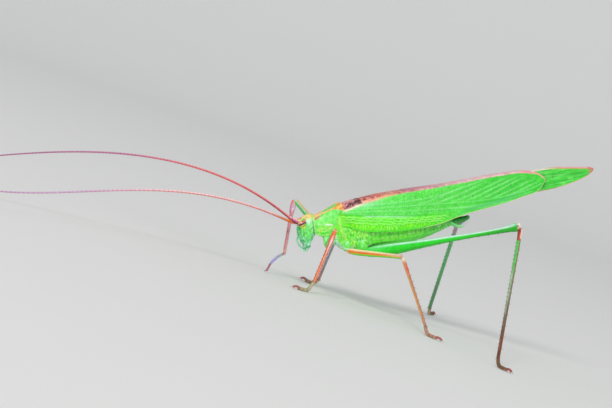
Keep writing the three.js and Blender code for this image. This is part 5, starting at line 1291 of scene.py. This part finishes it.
# painted shade: the hind wing darker where it lies under the forewing
hc = blend(hc, rgb(70, 150, 70), smooth(30.0, 29.0, X) * 0.35)
hc = blend(hc, rgb(150, 236, 140), smooth(0.58, 0.8, noise(P3 * [0.14, 1, 1.3], 0.16, 82)) * 0.45)
edge_t = smooth(0.16, 0.06, HIND["top"](X) - Z)
edge_b = smooth(0.12, 0.02, Z - HIND["low"](X))
edge_e = smooth(35.6, 36.2, X)
hc = blend(hc, rgb(250, 238, 232), edge_t * smooth(33.0, 29.5, X) * 0.9)
hc = blend(hc, rgb(240, 128, 132), np.maximum(edge_t, smooth(0.28, 0.12, HIND["top"](X) - Z) * 0.8) * smooth(29.0, 32.5, X) * 0.9)
hc = blend(hc, rgb(250, 214, 232), smooth(0.10, 0.03, HIND["top"](X) - Z) * smooth(30.0, 32.5, X) * 0.6)
hc = blend(hc, rgb(236, 150, 152), edge_b * 0.95)
hc = blend(hc, rgb(196, 116, 116), edge_e * 0.75)
hc = blend(hc, rgb(40, 80, 44), np.exp(-(np.hypot(X - 30.6, Z - 0.44) / 0.08) ** 2) * 0.8)
idx = np.arange(nu * nv).reshape(nu, nv)
a, b, c_, d = idx[:-1, :-1], idx[1:, :-1], idx[1:, 1:], idx[:-1, 1:]
top_q = np.stack([a, b, c_, d], -1).reshape(-1, 4)
rim = np.concatenate([idx[:-1, 0], idx[-1, :-1], idx[1:, -1][::-1], idx[0, 1:][::-1]])
rim_q = np.stack([np.roll(rim, -1), rim, rim + nu * nv, np.roll(rim, -1) + nu * nv], -1)
HQ = np.concatenate([top_q, top_q[:, ::-1] + nu * nv, rim_q])
for side, nm in ((-1, "left"), (1, "right")):
    Wv = np.concatenate([np.stack([X, yo, Z], -1).reshape(-1, 3), np.stack([X, yi, Z], -1).reshape(-1, 3)]) * [1, side, 1]
    make("hindwing_" + nm, (Wv, HQ, WT, {}), M_HIND, np.concatenate([hc.reshape(-1, 3)] * 2), ["hind_wing_" + nm], extra={"net": np.full(len(Wv), 0.8)})

# ------------------------------------------------------------------ tail end
t, f = rounded(40, 0.03, 0.10)


def tail(points, w, h, n=28, bump=None):
    line = spaced(rope(points, per=20), 90)
    P = np.stack([np.interp(t, np.linspace(0, 1, 90), line[:, a]) for a in range(3)], -1)
    return limb(P, w * f, h * f, [0.6, 0, 1], n=n, bump=bump)


w = np.interp(t, [0, 0.3, 0.7, 1], [0.60, 0.58, 0.46, 0.30])
h = np.interp(t, [0, 0.3, 0.7, 1], [0.54, 0.48, 0.40, 0.27])
b = tail([[14.6, 0, -3.50], [15.6, 0, -3.48], [16.6, 0, -3.46], [17.4, 0, -3.36], [18.0, 0, -3.18]], w, h, bump=lambda t, c, s: 0.05 * bell(c, 0, 0.25) * (s < 0) - 0.03 * bell(np.abs(c), 0.6, 0.2) * (s < 0))
c = np.tile(rgb(66, 160, 70), (len(b[0]), 1))
c = blend(c, rgb(44, 124, 60), smooth(0.3, 0.9, b[3]["t"]) * 0.6)
c = blend(c, rgb(120, 206, 112), smooth(0.55, 0.75, noise(b[0], 0.3, 97)) * 0.6)
make("tail_plate", b, M_SKIN, c, ["subgenital_plate"], extra={"fleck": np.zeros(len(c))})
for side, nm in ((-1, "left"), (1, "right")):
    w = np.interp(t, [0, 0.15, 0.5, 0.85, 1], [0.24, 0.27, 0.21, 0.15, 0.10])
    b = tail(np.array([[14.7, 0.75, -3.05], [15.2, 0.96, -3.68], [15.85, 1.02, -4.13], [16.6, 0.94, -4.24], [17.45, 0.72, -3.86]]) * [1, side, 1], w, w)
    c = np.tile(rgb(122, 216, 128), (len(b[0]), 1))
    c = blend(c, rgb(206, 240, 206), smooth(0.2, 0.7, b[3]["t"]) * smooth(-0.3, 0.6, b[3]["s"]) * 0.7)
    c = blend(c, rgb(216, 196, 226), smooth(0.66, 0.86, b[3]["t"]) * 0.9)
    c = blend(c, rgb(120, 70, 84), smooth(0.965, 1.0, b[3]["t"]) * 0.7)
    make("cercus_" + nm + "_hook", b, M_LEG, c, ["cercus_" + nm])

# ------------------------------------------------------------------ legs
FEMUR = {
    "fore": [[0.0, 0.26, 0.30, 0], [0.04, 0.36, 0.40, 0], [0.25, 0.36, 0.42, 0], [0.6, 0.33, 0.38, 0], [0.85, 0.31, 0.36, 0], [0.95, 0.33, 0.40, 0], [1.0, 0.26, 0.30, 0]],
    "mid": [[0.0, 0.26, 0.30, 0], [0.04, 0.38, 0.44, 0], [0.22, 0.38, 0.45, -0.06], [0.6, 0.33, 0.37, -0.03], [0.88, 0.30, 0.33, 0], [0.96, 0.31, 0.36, 0], [1.0, 0.25, 0.28, 0]],
    "hind": [[0.0, 0.36, 0.42, 0], [0.02, 0.52, 0.66, -0.04], [0.07, 0.62, 0.84, -0.12], [0.14, 0.64, 0.92, -0.16], [0.22, 0.60, 0.86, -0.16], [0.32, 0.52, 0.70, -0.12], [0.44, 0.42, 0.55, -0.06],
             [0.58, 0.34, 0.43, 0], [0.74, 0.29, 0.34, 0], [0.86, 0.30, 0.41, 0.05], [0.93, 0.34, 0.55, 0.12], [0.975, 0.38, 0.68, 0.16], [1.0, 0.30, 0.50, 0.10]],
}
TIBIA = {
    "fore": [[0.0, 0.27, 0.30], [0.05, 0.30, 0.36], [0.12, 0.36, 0.44], [0.20, 0.34, 0.42], [0.28, 0.27, 0.31], [0.6, 0.26, 0.28], [0.95, 0.27, 0.29], [1.0, 0.25, 0.26]],
    "mid": [[0.0, 0.27, 0.29], [0.06, 0.30, 0.31], [0.3, 0.26, 0.27], [0.94, 0.26, 0.27], [1.0, 0.25, 0.25]],
    "hind": [[0.0, 0.30, 0.32], [0.03, 0.32, 0.38], [0.08, 0.28, 0.30], [0.4, 0.27, 0.28], [0.95, 0.27, 0.29], [1.0, 0.26, 0.26]],
}


def columns(table, t, k):
    return curve([[r[0], r[k]] for r in table])(t)


for name, j in JOINT.items():
    kind, side = j["kind"], j["side"]
    left = side < 0
    # --- femur
    L = FEM[kind]
    t, f = rounded(int(L / 0.10), 0.28 / L, 0.30 / L, 6)
    F = FEMUR[kind]
    w, h, l = columns(F, t, 1) * 0.95, columns(F, t, 2) * 0.96, columns(F, t, 3)
    if kind == "mid":
        h = h * lerp(0.72, 1.0, smooth(0.0, 0.10, t))
    P = j["tro"] + (j["knee"] - j["tro"]) * t[:, None] + j["fup"] * l[:, None]

    def relief(t, c, s, kind=kind):
        k = -0.045 * bell(c, 0, 0.30) * (s < 0) * smooth(0.05, 0.15, t) * smooth(0.97, 0.90, t)
        k = k + 0.030 * bell(np.abs(c), 0.50, 0.16) * (s < 0) * smooth(0.05, 0.2, t)
        k = k + 0.022 * bell(s, 0.35, 0.12) + 0.018 * bell(s, -0.25, 0.12)
        k = k - 0.05 * bell(t, 0.035 if kind != "hind" else 0.015, 0.010)
        knee0 = 0.955 if kind != "hind" else 0.945
        k = k - 0.035 * bell(t, knee0 - 0.012, 0.006) + 0.03 * smooth(knee0 - 0.008, knee0 + 0.01, t) * (s > -0.4)
        return k
    b = limb(P, w * f, h * f, j["fup"], n=32, power=2.15, bump=relief)
    tt, c0, s0 = b[3]["t"], b[3]["c"], b[3]["s"]
    BV = b[0]
    nn = noise(BV, 0.4, 91)
    n_f = noise(BV, 0.14, 92)
    if kind == "hind":
        c = np.tile(rgb(72, 220, 66), (len(tt), 1)) if left else np.tile(rgb(74, 186, 74), (len(tt), 1))
        c = blend(c, rgb(96, 222, 78), smooth(0.1, 0.5, s0) * 0.5)
        c = blend(c, rgb(44, 186, 40), smooth(-0.3, -0.9, s0) * 0.6)
        # painted highlight: a pale band and a white-blue line along the upper side of the hind femur, weaker on the far
        # leg
        c = blend(c, rgb(150, 236, 190), bell(s0, 0.42, 0.30) * smooth(0.02, 0.08, tt) * (0.6 if left else 0.3))
        c = blend(c, rgb(236, 250, 255), np.exp(-((s0 - lerp(0.44, 0.27, smooth(0.2, 0.6, tt))) / lerp(0.18, 0.33, smooth(0.2, 0.6, tt))) ** 2) * smooth(0.02, 0.10, tt) * smooth(0.975, 0.93, tt) * (1.0 if left else 0.4))
        c = blend(c, rgb(96, 216, 96), smooth(0.70, 0.92, s0) * 0.75)
        c = blend(c, rgb(120, 236, 132), smooth(0.24, 0.04, tt) * 0.6)
        c = blend(c, rgb(66, 146, 62), smooth(0.6, 0.9, tt) * smooth(0.3, -0.4, s0) * 0.6)
        # painted highlight: a white-blue glint on the top of the knee end, weaker on the far leg
        c = blend(c, rgb(206, 238, 240), bell(np.hypot((tt - 0.948) / 0.026, (s0 - 0.40) / 0.42), 0, 0.8) * (0.85 if left else 0.3))
        c = blend(c, rgb(252, 242, 242), smooth(0.974, 0.988, tt + 0.010 * s0) * 0.9)
        c = blend(c, rgb(120, 56, 44), bell(np.hypot((tt - 0.986) / 0.012, (s0 + 0.15) / 0.42), 0, 0.8) * 0.9)
        c = blend(c, rgb(150, 96, 88), smooth(0.970, 0.982, tt) * smooth(0.62, 0.76, n_f) * 0.7)
    elif kind == "mid":
        c = np.tile(rgb(240, 182, 118), (len(tt), 1)) if left else np.tile(rgb(196, 178, 116), (len(tt), 1))
        c = blend(c, rgb(255, 238, 206), smooth(0.22, 0.50, s0) * 0.9)
        c = blend(c, rgb(236, 92, 38), bell(s0, -0.16, 0.26) * smooth(1.0, 0.45, tt) * smooth(0.0, 0.06, tt) * 0.95)
        c = blend(c, rgb(116, 226, 78), smooth(-0.42, -0.66, s0) * smooth(0.03, 0.16, tt) * 0.95)
        c = blend(c, rgb(226, 196, 180), smooth(0.6, 0.92, tt) * smooth(-0.5, 0.2, s0) * 0.7)
        c = blend(c, rgb(200, 160, 150), smooth(0.955, 0.985, tt) * 0.8)
        c = blend(c, rgb(206, 240, 214), smooth(0.05, 0.0, tt) * 0.8)
    elif left:
        c = np.tile(rgb(104, 222, 96), (len(tt), 1))
        # painted highlight: a pale band along one side of the near fore femur
        c = blend(c, rgb(186, 244, 176), bell(s0, 0.30, 0.3) * 0.5)
        c = blend(c, rgb(228, 140, 100), smooth(0.72, 0.90, tt) * 0.95)
        # painted highlight: pink-white on the same band towards the knee
        c = blend(c, rgb(250, 228, 220), smooth(0.80, 0.95, tt) * bell(s0, 0.30, 0.3) * 0.7)
        c = blend(c, rgb(150, 206, 120), smooth(-0.4, -0.9, s0) * 0.6)
    else:
        c = np.tile(rgb(110, 200, 118), (len(tt), 1))
        c = blend(c, rgb(196, 226, 232), bell(s0, 0.20, 0.30) * 0.6)
        c = blend(c, rgb(240, 176, 96), smooth(0.30, 0.75, s0) * 0.9)
        c = blend(c, rgb(238, 220, 190), bell(s0, 0.5, 0.14) * 0.6)
        c = blend(c, rgb(196, 206, 220), smooth(0.93, 0.98, tt) * 0.8)
        c = blend(c, rgb(236, 140, 90), smooth(0.06, 0.0, tt) * 0.5)
    c = blend(c, c * 0.72, smooth(0.62, 0.78, n_f) * 0.5)
    parts = [(b[0], b[1], b[2], {"c": c})]
    if kind == "hind":
        for row in (-1, 1):
            for k in range(9):
                q = 0.36 + 0.062 * k
                base = j["tro"] + (j["knee"] - j["tro"]) * q + j["fup"] * (float(columns(F, q, 3)) - float(columns(F, q, 2)) * 0.86)
                sd = unit(np.cross(j["fd"], j["fup"])) * row
                base = base + sd * float(columns(F, q, 1)) * 0.42
                sp = cone(base, base - j["fup"] * 0.20 + j["fd"] * 0.12 + sd * 0.03, 0.035)
                parts.append((sp[0], sp[1], sp[2], {"c": np.tile(rgb(110, 70, 44), (len(sp[0]), 1))}))
    bb = join(parts)
    make("femur_%s_skin" % name, bb, M_LEG, bb[3]["c"], ["femur_" + name], trunk=False)
    # --- tibia
    L = np.linalg.norm(j["ankle"] - j["knee"])
    A = j["knee"] + j["td"] * 0.06
    t, f = rounded(int(L / 0.10), 0.26 / L, 0.22 / L, 6)
    F = TIBIA[kind]
    thin = lerp(0.92, 0.80, smooth(0.1, 0.8, t))
    thin = thin + 0.12 if name == "hind_right" else thin - 0.06 if name == "mid_left" else thin
    w, h = columns(F, t, 1) * thin, columns(F, t, 2) * thin
    P = A + (j["ankle"] - A) * t[:, None]

    def relief(t, c, s, kind=kind):
        k = -0.030 * bell(c, 0, 0.28) * smooth(0.05, 0.12, t) * smooth(0.99, 0.95, t)
        k = k - 0.022 * bell(s, 0.0, 0.25) * smooth(0.25, 0.32, t) * smooth(0.99, 0.95, t)
        k = k - 0.05 * bell(t, 0.028 if kind == "hind" else 0.05, 0.008) + 0.03 * smooth(0.975, 0.99, t)
        if kind == "fore":
            dd = np.hypot((t - 0.155) / 0.045, s / 0.62)
            k = k + (0.05 * bell(dd, 1.05, 0.16) - 0.07 * smooth(0.95, 0.75, dd) + 0.03 * smooth(0.45, 0.2, dd)) * (np.abs(c) > 0.5)
        return k
    b = limb(P, w * f, h * f, j["tup"], n=28, power=2.5, bump=relief)
    tt, c0, s0 = b[3]["t"], b[3]["c"], b[3]["s"]
    BV = b[0]
    n_f, n_m = noise(BV, 0.14, 95), noise(BV, 0.5, 96)
    edge = np.maximum(bell(np.abs(c0), 1.0, 0.28), 0) * bell(np.abs(s0), 0.9, 0.5)
    if kind == "hind" and left:
        c = np.tile(rgb(92, 186, 98), (len(tt), 1))
        c = blend(c, rgb(120, 204, 122), smooth(0.05, 0.15, tt) * smooth(0.35, 0.2, tt) * 0.5)
        c = blend(c, rgb(132, 160, 126), smooth(0.25, 0.45, tt) * 0.9)
        c = blend(c, rgb(92, 96, 72), smooth(0.48, 0.66, tt) * 0.9)
        c = blend(c, rgb(96, 54, 38), smooth(0.66, 0.90, tt) * 0.95)
        # painted highlight: a pale grey-white streak down the middle of the near hind tibia
        c = blend(c, rgb(214, 226, 214), bell(s0, 0.15, 0.30) * smooth(0.28, 0.40, tt) * smooth(0.75, 0.6, tt) * (0.2 + 0.7 * n_m))
        c = blend(c, rgb(176, 120, 96), bell(s0, 0.15, 0.30) * smooth(0.62, 0.75, tt) * smooth(0.50, 0.65, n_m) * 0.7)
        c = blend(c, rgb(140, 66, 46), bell(np.abs(s0), 0.98, 0.26) * smooth(0.08, 0.15, tt) * 0.85)
        c = blend(c, rgb(138, 48, 28), smooth(0.115, 0.095, tt))
        c = blend(c, rgb(206, 84, 40), smooth(0.115, 0.095, tt) * bell(s0, -0.1, 0.35) * smooth(0.03, 0.06, tt) * 0.7)
        c = blend(c, rgb(250, 226, 210), smooth(0.10, 0.08, tt) * smooth(-0.45, -0.85, s0) * 0.9)
        c = blend(c, rgb(214, 160, 140), smooth(0.03, 0.0, tt) * 0.7)
    elif kind == "hind":
        c = np.tile(rgb(104, 172, 118), (len(tt), 1))
        c = blend(c, rgb(172, 134, 158), smooth(0.40, 0.31, tt) * 0.92)
        c = blend(c, rgb(104, 146, 110), smooth(0.6, 0.9, tt) * 0.8)
    elif kind == "mid":
        c = np.tile(rgb(198, 144, 98), (len(tt), 1)) if left else np.tile(rgb(150, 140, 168), (len(tt), 1))
        # painted highlight: a pale streak along the middle of the mid tibia
        c = blend(c, rgb(244, 216, 176), bell(s0, 0.5, 0.35) * 0.6)
        c = blend(c, rgb(192, 110, 62), bell(s0, -0.6, 0.5) * 0.45 * left)
        c = blend(c, rgb(120, 56, 34), smooth(0.62, 0.95, np.abs(s0)) * 0.45 * left)
        c = blend(c, rgb(226, 74, 44), bell(tt, 0.17, 0.09) * smooth(0.5, -0.3, s0) * 0.75 * left)
        c = blend(c, rgb(248, 226, 206), smooth(0.10, 0.03, tt) * 0.9)
        c = blend(c, rgb(178, 122, 108), smooth(0.75, 0.97, tt) * 0.7)
    elif left:
        c = np.tile(rgb(240, 132, 96), (len(tt), 1))
        c = blend(c, rgb(230, 96, 58), bell(np.abs(c0), 0.9, 0.45) * 0.85)
        # painted highlight: a white streak and patch down the middle of the near fore tibia, paler towards the foot
        c = blend(c, rgb(255, 244, 242), bell(c0, 0.10, 0.24) * smooth(0.02, 0.2, tt) * smooth(0.75, 0.45, tt) * (0.45 + 0.8 * n_m))
        c = blend(c, rgb(250, 186, 156), bell(c0, 0.10, 0.40) * smooth(0.45, 0.7, tt) * 0.7)
        c = blend(c, rgb(255, 248, 252), bell(tt, 0.20, 0.09) * bell(c0, 0.10, 0.42) * 0.9)
    else:
        c = np.tile(rgb(214, 146, 158), (len(tt), 1))
        c = blend(c, rgb(240, 120, 80), smooth(0.09, 0.02, tt) * 0.85)
        c = blend(c, rgb(218, 200, 246), bell(tt, 0.155, 0.07) * bell(s0, 0.1, 0.6) * 0.95)
        c = blend(c, rgb(248, 214, 212), bell(s0, 0.5, 0.3) * 0.5)
        c = blend(c, rgb(206, 96, 90), smooth(-0.3, -0.9, s0) * 0.6)
        c = blend(c, rgb(206, 160, 140), smooth(0.7, 0.95, tt) * 0.4)
    c = blend(c, c * 0.55, smooth(0.66, 0.80, n_f) * 0.55)
    parts = [(b[0], b[1], b[2], {"c": c})]
    sd0 = unit(np.cross(j["td"], j["tup"]))
    rows = {"hind": (26, 0.12, 0.955), "mid": (9, 0.12, 0.92), "fore": (8, 0.30, 0.92)}[kind]
    for row in (-1, 1):
        for face in ((1, -1) if kind == "hind" else (-1,)):
            cnt = rows[0] if face == 1 or kind != "hind" else 10
            for k in range(cnt):
                q = lerp(rows[1], rows[2], (k + 0.5 * (row > 0)) / cnt)
                wq, hq = float(columns(F, q, 1)) * float(lerp(0.92, 0.80, smooth(0.1, 0.8, q))), float(columns(F, q, 2)) * float(lerp(0.92, 0.80, smooth(0.1, 0.8, q)))
                base = A + (j["ankle"] - A) * q + sd0 * row * wq * 0.78 + j["tup"] * face * hq * 0.70
                ln = 0.24 if kind == "hind" else 0.30
                tip = base + sd0 * row * ln * 0.5 + j["tup"] * face * ln * 0.62 + j["td"] * ln * 0.75
                sp = cone(base, tip, 0.036)
                parts.append((sp[0], sp[1], sp[2], {"c": np.tile(rgb(104, 66, 46) if kind == "hind" else rgb(170, 96, 74), (len(sp[0]), 1))}))
        for face in (1, -1):
            base = j["ankle"] - j["td"] * 0.16 + sd0 * row * 0.15 + j["tup"] * face * 0.13
            tip = base + j["td"] * (0.42 if kind == "hind" else 0.26) + sd0 * row * 0.16 + j["tup"] * face * 0.12
            sp = cone(base, tip, 0.042)
            parts.append((sp[0], sp[1], sp[2], {"c": np.tile(rgb(96, 56, 40), (len(sp[0]), 1))}))
    bb = join(parts)
    make("tibia_%s_skin" % name, bb, M_LEG, bb[3]["c"], ["tibia_" + name], trunk=False)
    # --- foot: three padded joints, a slim last one and two claws
    toe, ank = j["toe"], j["ankle"]
    hang = name == "fore_right"
    at2 = lambda d, zz: np.array([ank[0] + toe[0] * d, ank[1] + toe[1] * d, zz])
    if hang:
        rows = [[-0.02, ank[2], 0.22, 0.21], [0.30, lerp(ank[2], 0.2, 0.06), 0.21, 0.19], [0.72, lerp(ank[2], 0.2, 0.21), 0.23, 0.19], [0.92, lerp(ank[2], 0.2, 0.31), 0.28, 0.20],
                [1.22, lerp(ank[2], 0.2, 0.47), 0.38, 0.20], [1.42, 1.36, 0.20, 0.17], [1.52, 0.80, 0.15, 0.15], [1.60, 0.38, 0.17, 0.16], [1.66, 0.16, 0.19, 0.17]]
        marks, last = [0.28, 0.50], 0.66
        up = np.array([-toe[0], -toe[1], 0.4])
    else:
        rows = [[-0.05, ank[2], 0.22, 0.22], [0.22, lerp(ank[2], FOOT_R, 0.45), 0.24, 0.23], [0.55, FOOT_R + 0.12, 0.28, 0.25], [0.95, FOOT_R - 0.03, 0.30, 0.245],
                [1.30, FOOT_R - 0.02, 0.28, 0.24], [1.60, FOOT_R - 0.03, 0.34, 0.245], [2.02, FOOT_R - 0.03, 0.42, 0.245], [2.25, FOOT_R + 0.04, 0.24, 0.22],
                [2.60, FOOT_R + 0.16, 0.15, 0.15], [3.05, FOOT_R + 0.10, 0.16, 0.16], [3.26, 0.22, 0.19, 0.17]]
        marks, last = [0.40, 0.60], 0.72
        up = np.array([0, 0, 1.0])
    rows = np.array(rows)
    line = rope(np.array([at2(r[0], r[1]) for r in rows]), per=12)
    ts = np.linspace(0, 1, len(line))
    t, f = rounded(64, 0.02, 0.03, 5)
    s_ = np.concatenate([[0], np.cumsum(np.linalg.norm(np.diff(line, axis=0), axis=1))])
    s_ /= s_[-1]
    P = np.stack([np.interp(t, s_, line[:, a]) for a in range(3)], -1)
    wk = np.interp(np.interp(t, s_, ts), np.linspace(0, 1, len(rows)), rows[:, 2])
    hk = np.interp(np.interp(t, s_, ts), np.linspace(0, 1, len(rows)), rows[:, 3])
    for mk in marks + [last]:
        wk = wk * (1 - 0.30 * bell(t, mk, 0.016) + 0.10 * bell(t, mk - 0.05, 0.03))
        hk = hk * (1 - 0.22 * bell(t, mk, 0.014))
    b = limb(P, wk * f, hk * f, up, n=24, power=2.2)
    FV = b[0].copy()
    FV[:, 2] = np.maximum(FV[:, 2], 0)
    tt, s0 = b[3]["t"], b[3]["s"]
    base_c = {"fore": rgb(176, 170, 140), "mid": rgb(178, 136, 116), "hind": rgb(112, 84, 62)}[kind]
    c = np.tile(base_c, (len(tt), 1))
    c = blend(c, rgb(226, 214, 186), smooth(-0.2, -0.9, s0) * 0.6)
    for mk in marks + [last]:
        c = blend(c, rgb(84, 50, 44), bell(tt, mk, 0.014) * 0.7)
    if hang:
        c = blend(c, rgb(172, 176, 212), smooth(0.03, 0.14, tt) * 0.75)
        c = blend(c, rgb(176, 150, 158), smooth(0.14, 0.02, tt) * 0.6)
        c = blend(c, rgb(134, 168, 168), bell(tt, 0.26, 0.06) * 0.6)
        c = blend(c, rgb(180, 158, 238), bell(tt, 0.52, 0.10) * 0.85)
    c = blend(c, rgb(170, 84, 92), smooth(last - 0.02, last + 0.03, tt) * 0.75)
    parts = [(FV, b[1], b[2], {"c": c})]
    end, dr = P[-1], unit(P[-1] - P[-9])
    sdx = unit(np.cross(toe, [0, 0, 1]))
    for row in (-1, 1):
        base = end - dr * 0.12 + sdx * row * 0.06
        fwd = toe if not hang else unit(toe + np.array([0, 0, -0.2]))
        mid_ = base + fwd * 0.16 + sdx * row * 0.14 + np.array([0, 0, 0.03])
        tip = base + fwd * 0.30 + sdx * row * 0.22 - np.array([0, 0, max(0.0, base[2] + 0.0 - 0.03)])
        tp = np.linspace(0, 1, 9)[:, None]
        path = base * (1 - tp) ** 2 + 2 * mid_ * tp * (1 - tp) + tip * tp ** 2
        path[:, 2] = np.maximum(path[:, 2], 0.03)
        rr = 0.055 * (1 - 0.92 * tp[:, 0])
        sp = limb(path, rr, rr, [0.1, 0.1, 1], n=8)
        cv = sp[0].copy()
        cv[:, 2] = np.maximum(cv[:, 2], 0.0)
        parts.append((cv, sp[1], sp[2], {"c": blend(np.tile(rgb(150, 84, 60), (len(cv), 1)), rgb(60, 26, 20), smooth(0.4, 1.0, sp[3]["t"]))}))
    bb = join(parts)
    make("foot_" + name, bb, M_FOOT, bb[3]["c"], ["tarsus_" + name], trunk=False)

# ------------------------------------------------------------------ floor, light, camera
CAM = np.array([-62.6625, -331.6692, 28.7414]) + SHIFT
AIM = np.array([0, 0, 11.0518]) + SHIFT
view_dir = unit(AIM - CAM)
cam_up = np.array([-0.31560, 0.10989, 0.94251])


def stage_sheet(name, V, F, color):
    me = bpy.data.meshes.new(name)
    me.from_pydata((np.array(V) / 1000).tolist(), [], F)
    me.polygons.foreach_set("use_smooth", np.full(len(F), True))
    m = bpy.data.materials.new(name)
    m.use_nodes = True
    nt = m.node_tree
    bs = nt.nodes["Principled BSDF"]
    tc = nt.nodes.new("ShaderNodeTexCoord")
    nz = nt.nodes.new("ShaderNodeTexNoise")
    nz.inputs["Scale"].default_value = 60
    nt.links.new(tc.outputs["Object"], nz.inputs["Vector"])
    mr = nt.nodes.new("ShaderNodeMapRange")
    mr.inputs["To Min"].default_value = 0.985
    mr.inputs["To Max"].default_value = 1.0
    nt.links.new(nz.outputs["Fac"], mr.inputs["Value"])
    sc_ = nt.nodes.new("ShaderNodeVectorMath")
    sc_.operation = "SCALE"
    sc_.inputs[0].default_value = color
    nt.links.new(mr.outputs[0], sc_.inputs["Scale"])
    nt.links.new(sc_.outputs[0], bs.inputs["Base Color"])
    bs.inputs["Roughness"].default_value = 0.9
    bs.inputs["Specular IOR Level"].default_value = 0.1
    me.materials.append(m)
    ob = bpy.data.objects.new(name, me)
    bpy.context.scene.collection.objects.link(ob)
    return ob


# a wide floor that curves up behind the insect, in one sheet
vd = unit([view_dir[0], view_dir[1], 0])
rt = np.array([vd[1], -vd[0], 0])
rows_ = []
for s_, zz in [(-900, 0), (-300, 0), (0, 0), (300, 0), (520, 0)] + [(520 + 260 * math.sin(a), 260 * (1 - math.cos(a))) for a in np.linspace(0.1, math.pi / 2, 14)] + [(780, 1200)]:
    rows_.append([SHIFT * [1, 1, 0] + vd * s_ + rt * q + np.array([0, 0, zz]) for q in (-1600, -800, 0, 800, 1600)])
VV = np.array(rows_).reshape(-1, 3)
FF = [[i * 5 + k, i * 5 + k + 1, (i + 1) * 5 + k + 1, (i + 1) * 5 + k] for i in range(len(rows_) - 1) for k in range(4)]
stage_sheet("floor_sheet", VV, FF, (0.80, 0.80, 0.79))


def area(name, at, aim, size, power, color=(1, 1, 1)):
    li = bpy.data.lights.new(name, "AREA")
    li.shape = "RECTANGLE"
    li.size, li.size_y = size[0] / 1000, size[1] / 1000
    li.energy = power
    li.color = color
    ob = bpy.data.objects.new(name, li)
    ob.location = Vector(np.array(at) / 1000)
    ob.rotation_euler = (Vector(np.array(aim) / 1000) - ob.location).to_track_quat("-Z", "Y").to_euler()
    bpy.context.scene.collection.objects.link(ob)
    return ob


mid = SHIFT + np.array([10, -4, 10])
area("key", mid + np.array([-460, -900, 760]), mid, (300, 300), 6.4, (1.0, 0.985, 0.96))
area("fill", mid + np.array([700, -800, 260]), mid, (500, 500), 1.6, (0.95, 0.98, 1.0))
world = bpy.data.worlds.new("pale")
bpy.context.scene.world = world
world.use_nodes = True
world.node_tree.nodes["Background"].inputs[0].default_value = (0.93, 0.95, 0.97, 1)
world.node_tree.nodes["Background"].inputs[1].default_value = 0.60

cam = bpy.data.cameras.new("camera")
cam.sensor_fit = "HORIZONTAL"
cam.sensor_width = 36
cam.lens = 2414 / 612 * 36
cam.clip_start = 0.01
cam.clip_end = 20
co = bpy.data.objects.new("camera", cam)
zc = -view_dir
xc = unit(np.cross(cam_up, zc))
yc = np.cross(zc, xc)
M = Matrix([[xc[0], yc[0], zc[0], CAM[0] / 1000], [xc[1], yc[1], zc[1], CAM[1] / 1000], [xc[2], yc[2], zc[2], CAM[2] / 1000], [0, 0, 0, 1]])
co.matrix_world = M
bpy.context.scene.collection.objects.link(co)
bpy.context.scene.camera = co
bpy.context.scene.view_settings.view_transform = "Standard"

tris = 0
for o in ROOT:
    n = sum(len(p.vertices) - 2 for p in o.data.polygons)
    tris += n
    if n > 60000:
        print("piece", o.name, len(o.data.polygons), "faces", n, "triangles")
print("triangles in all", tris)
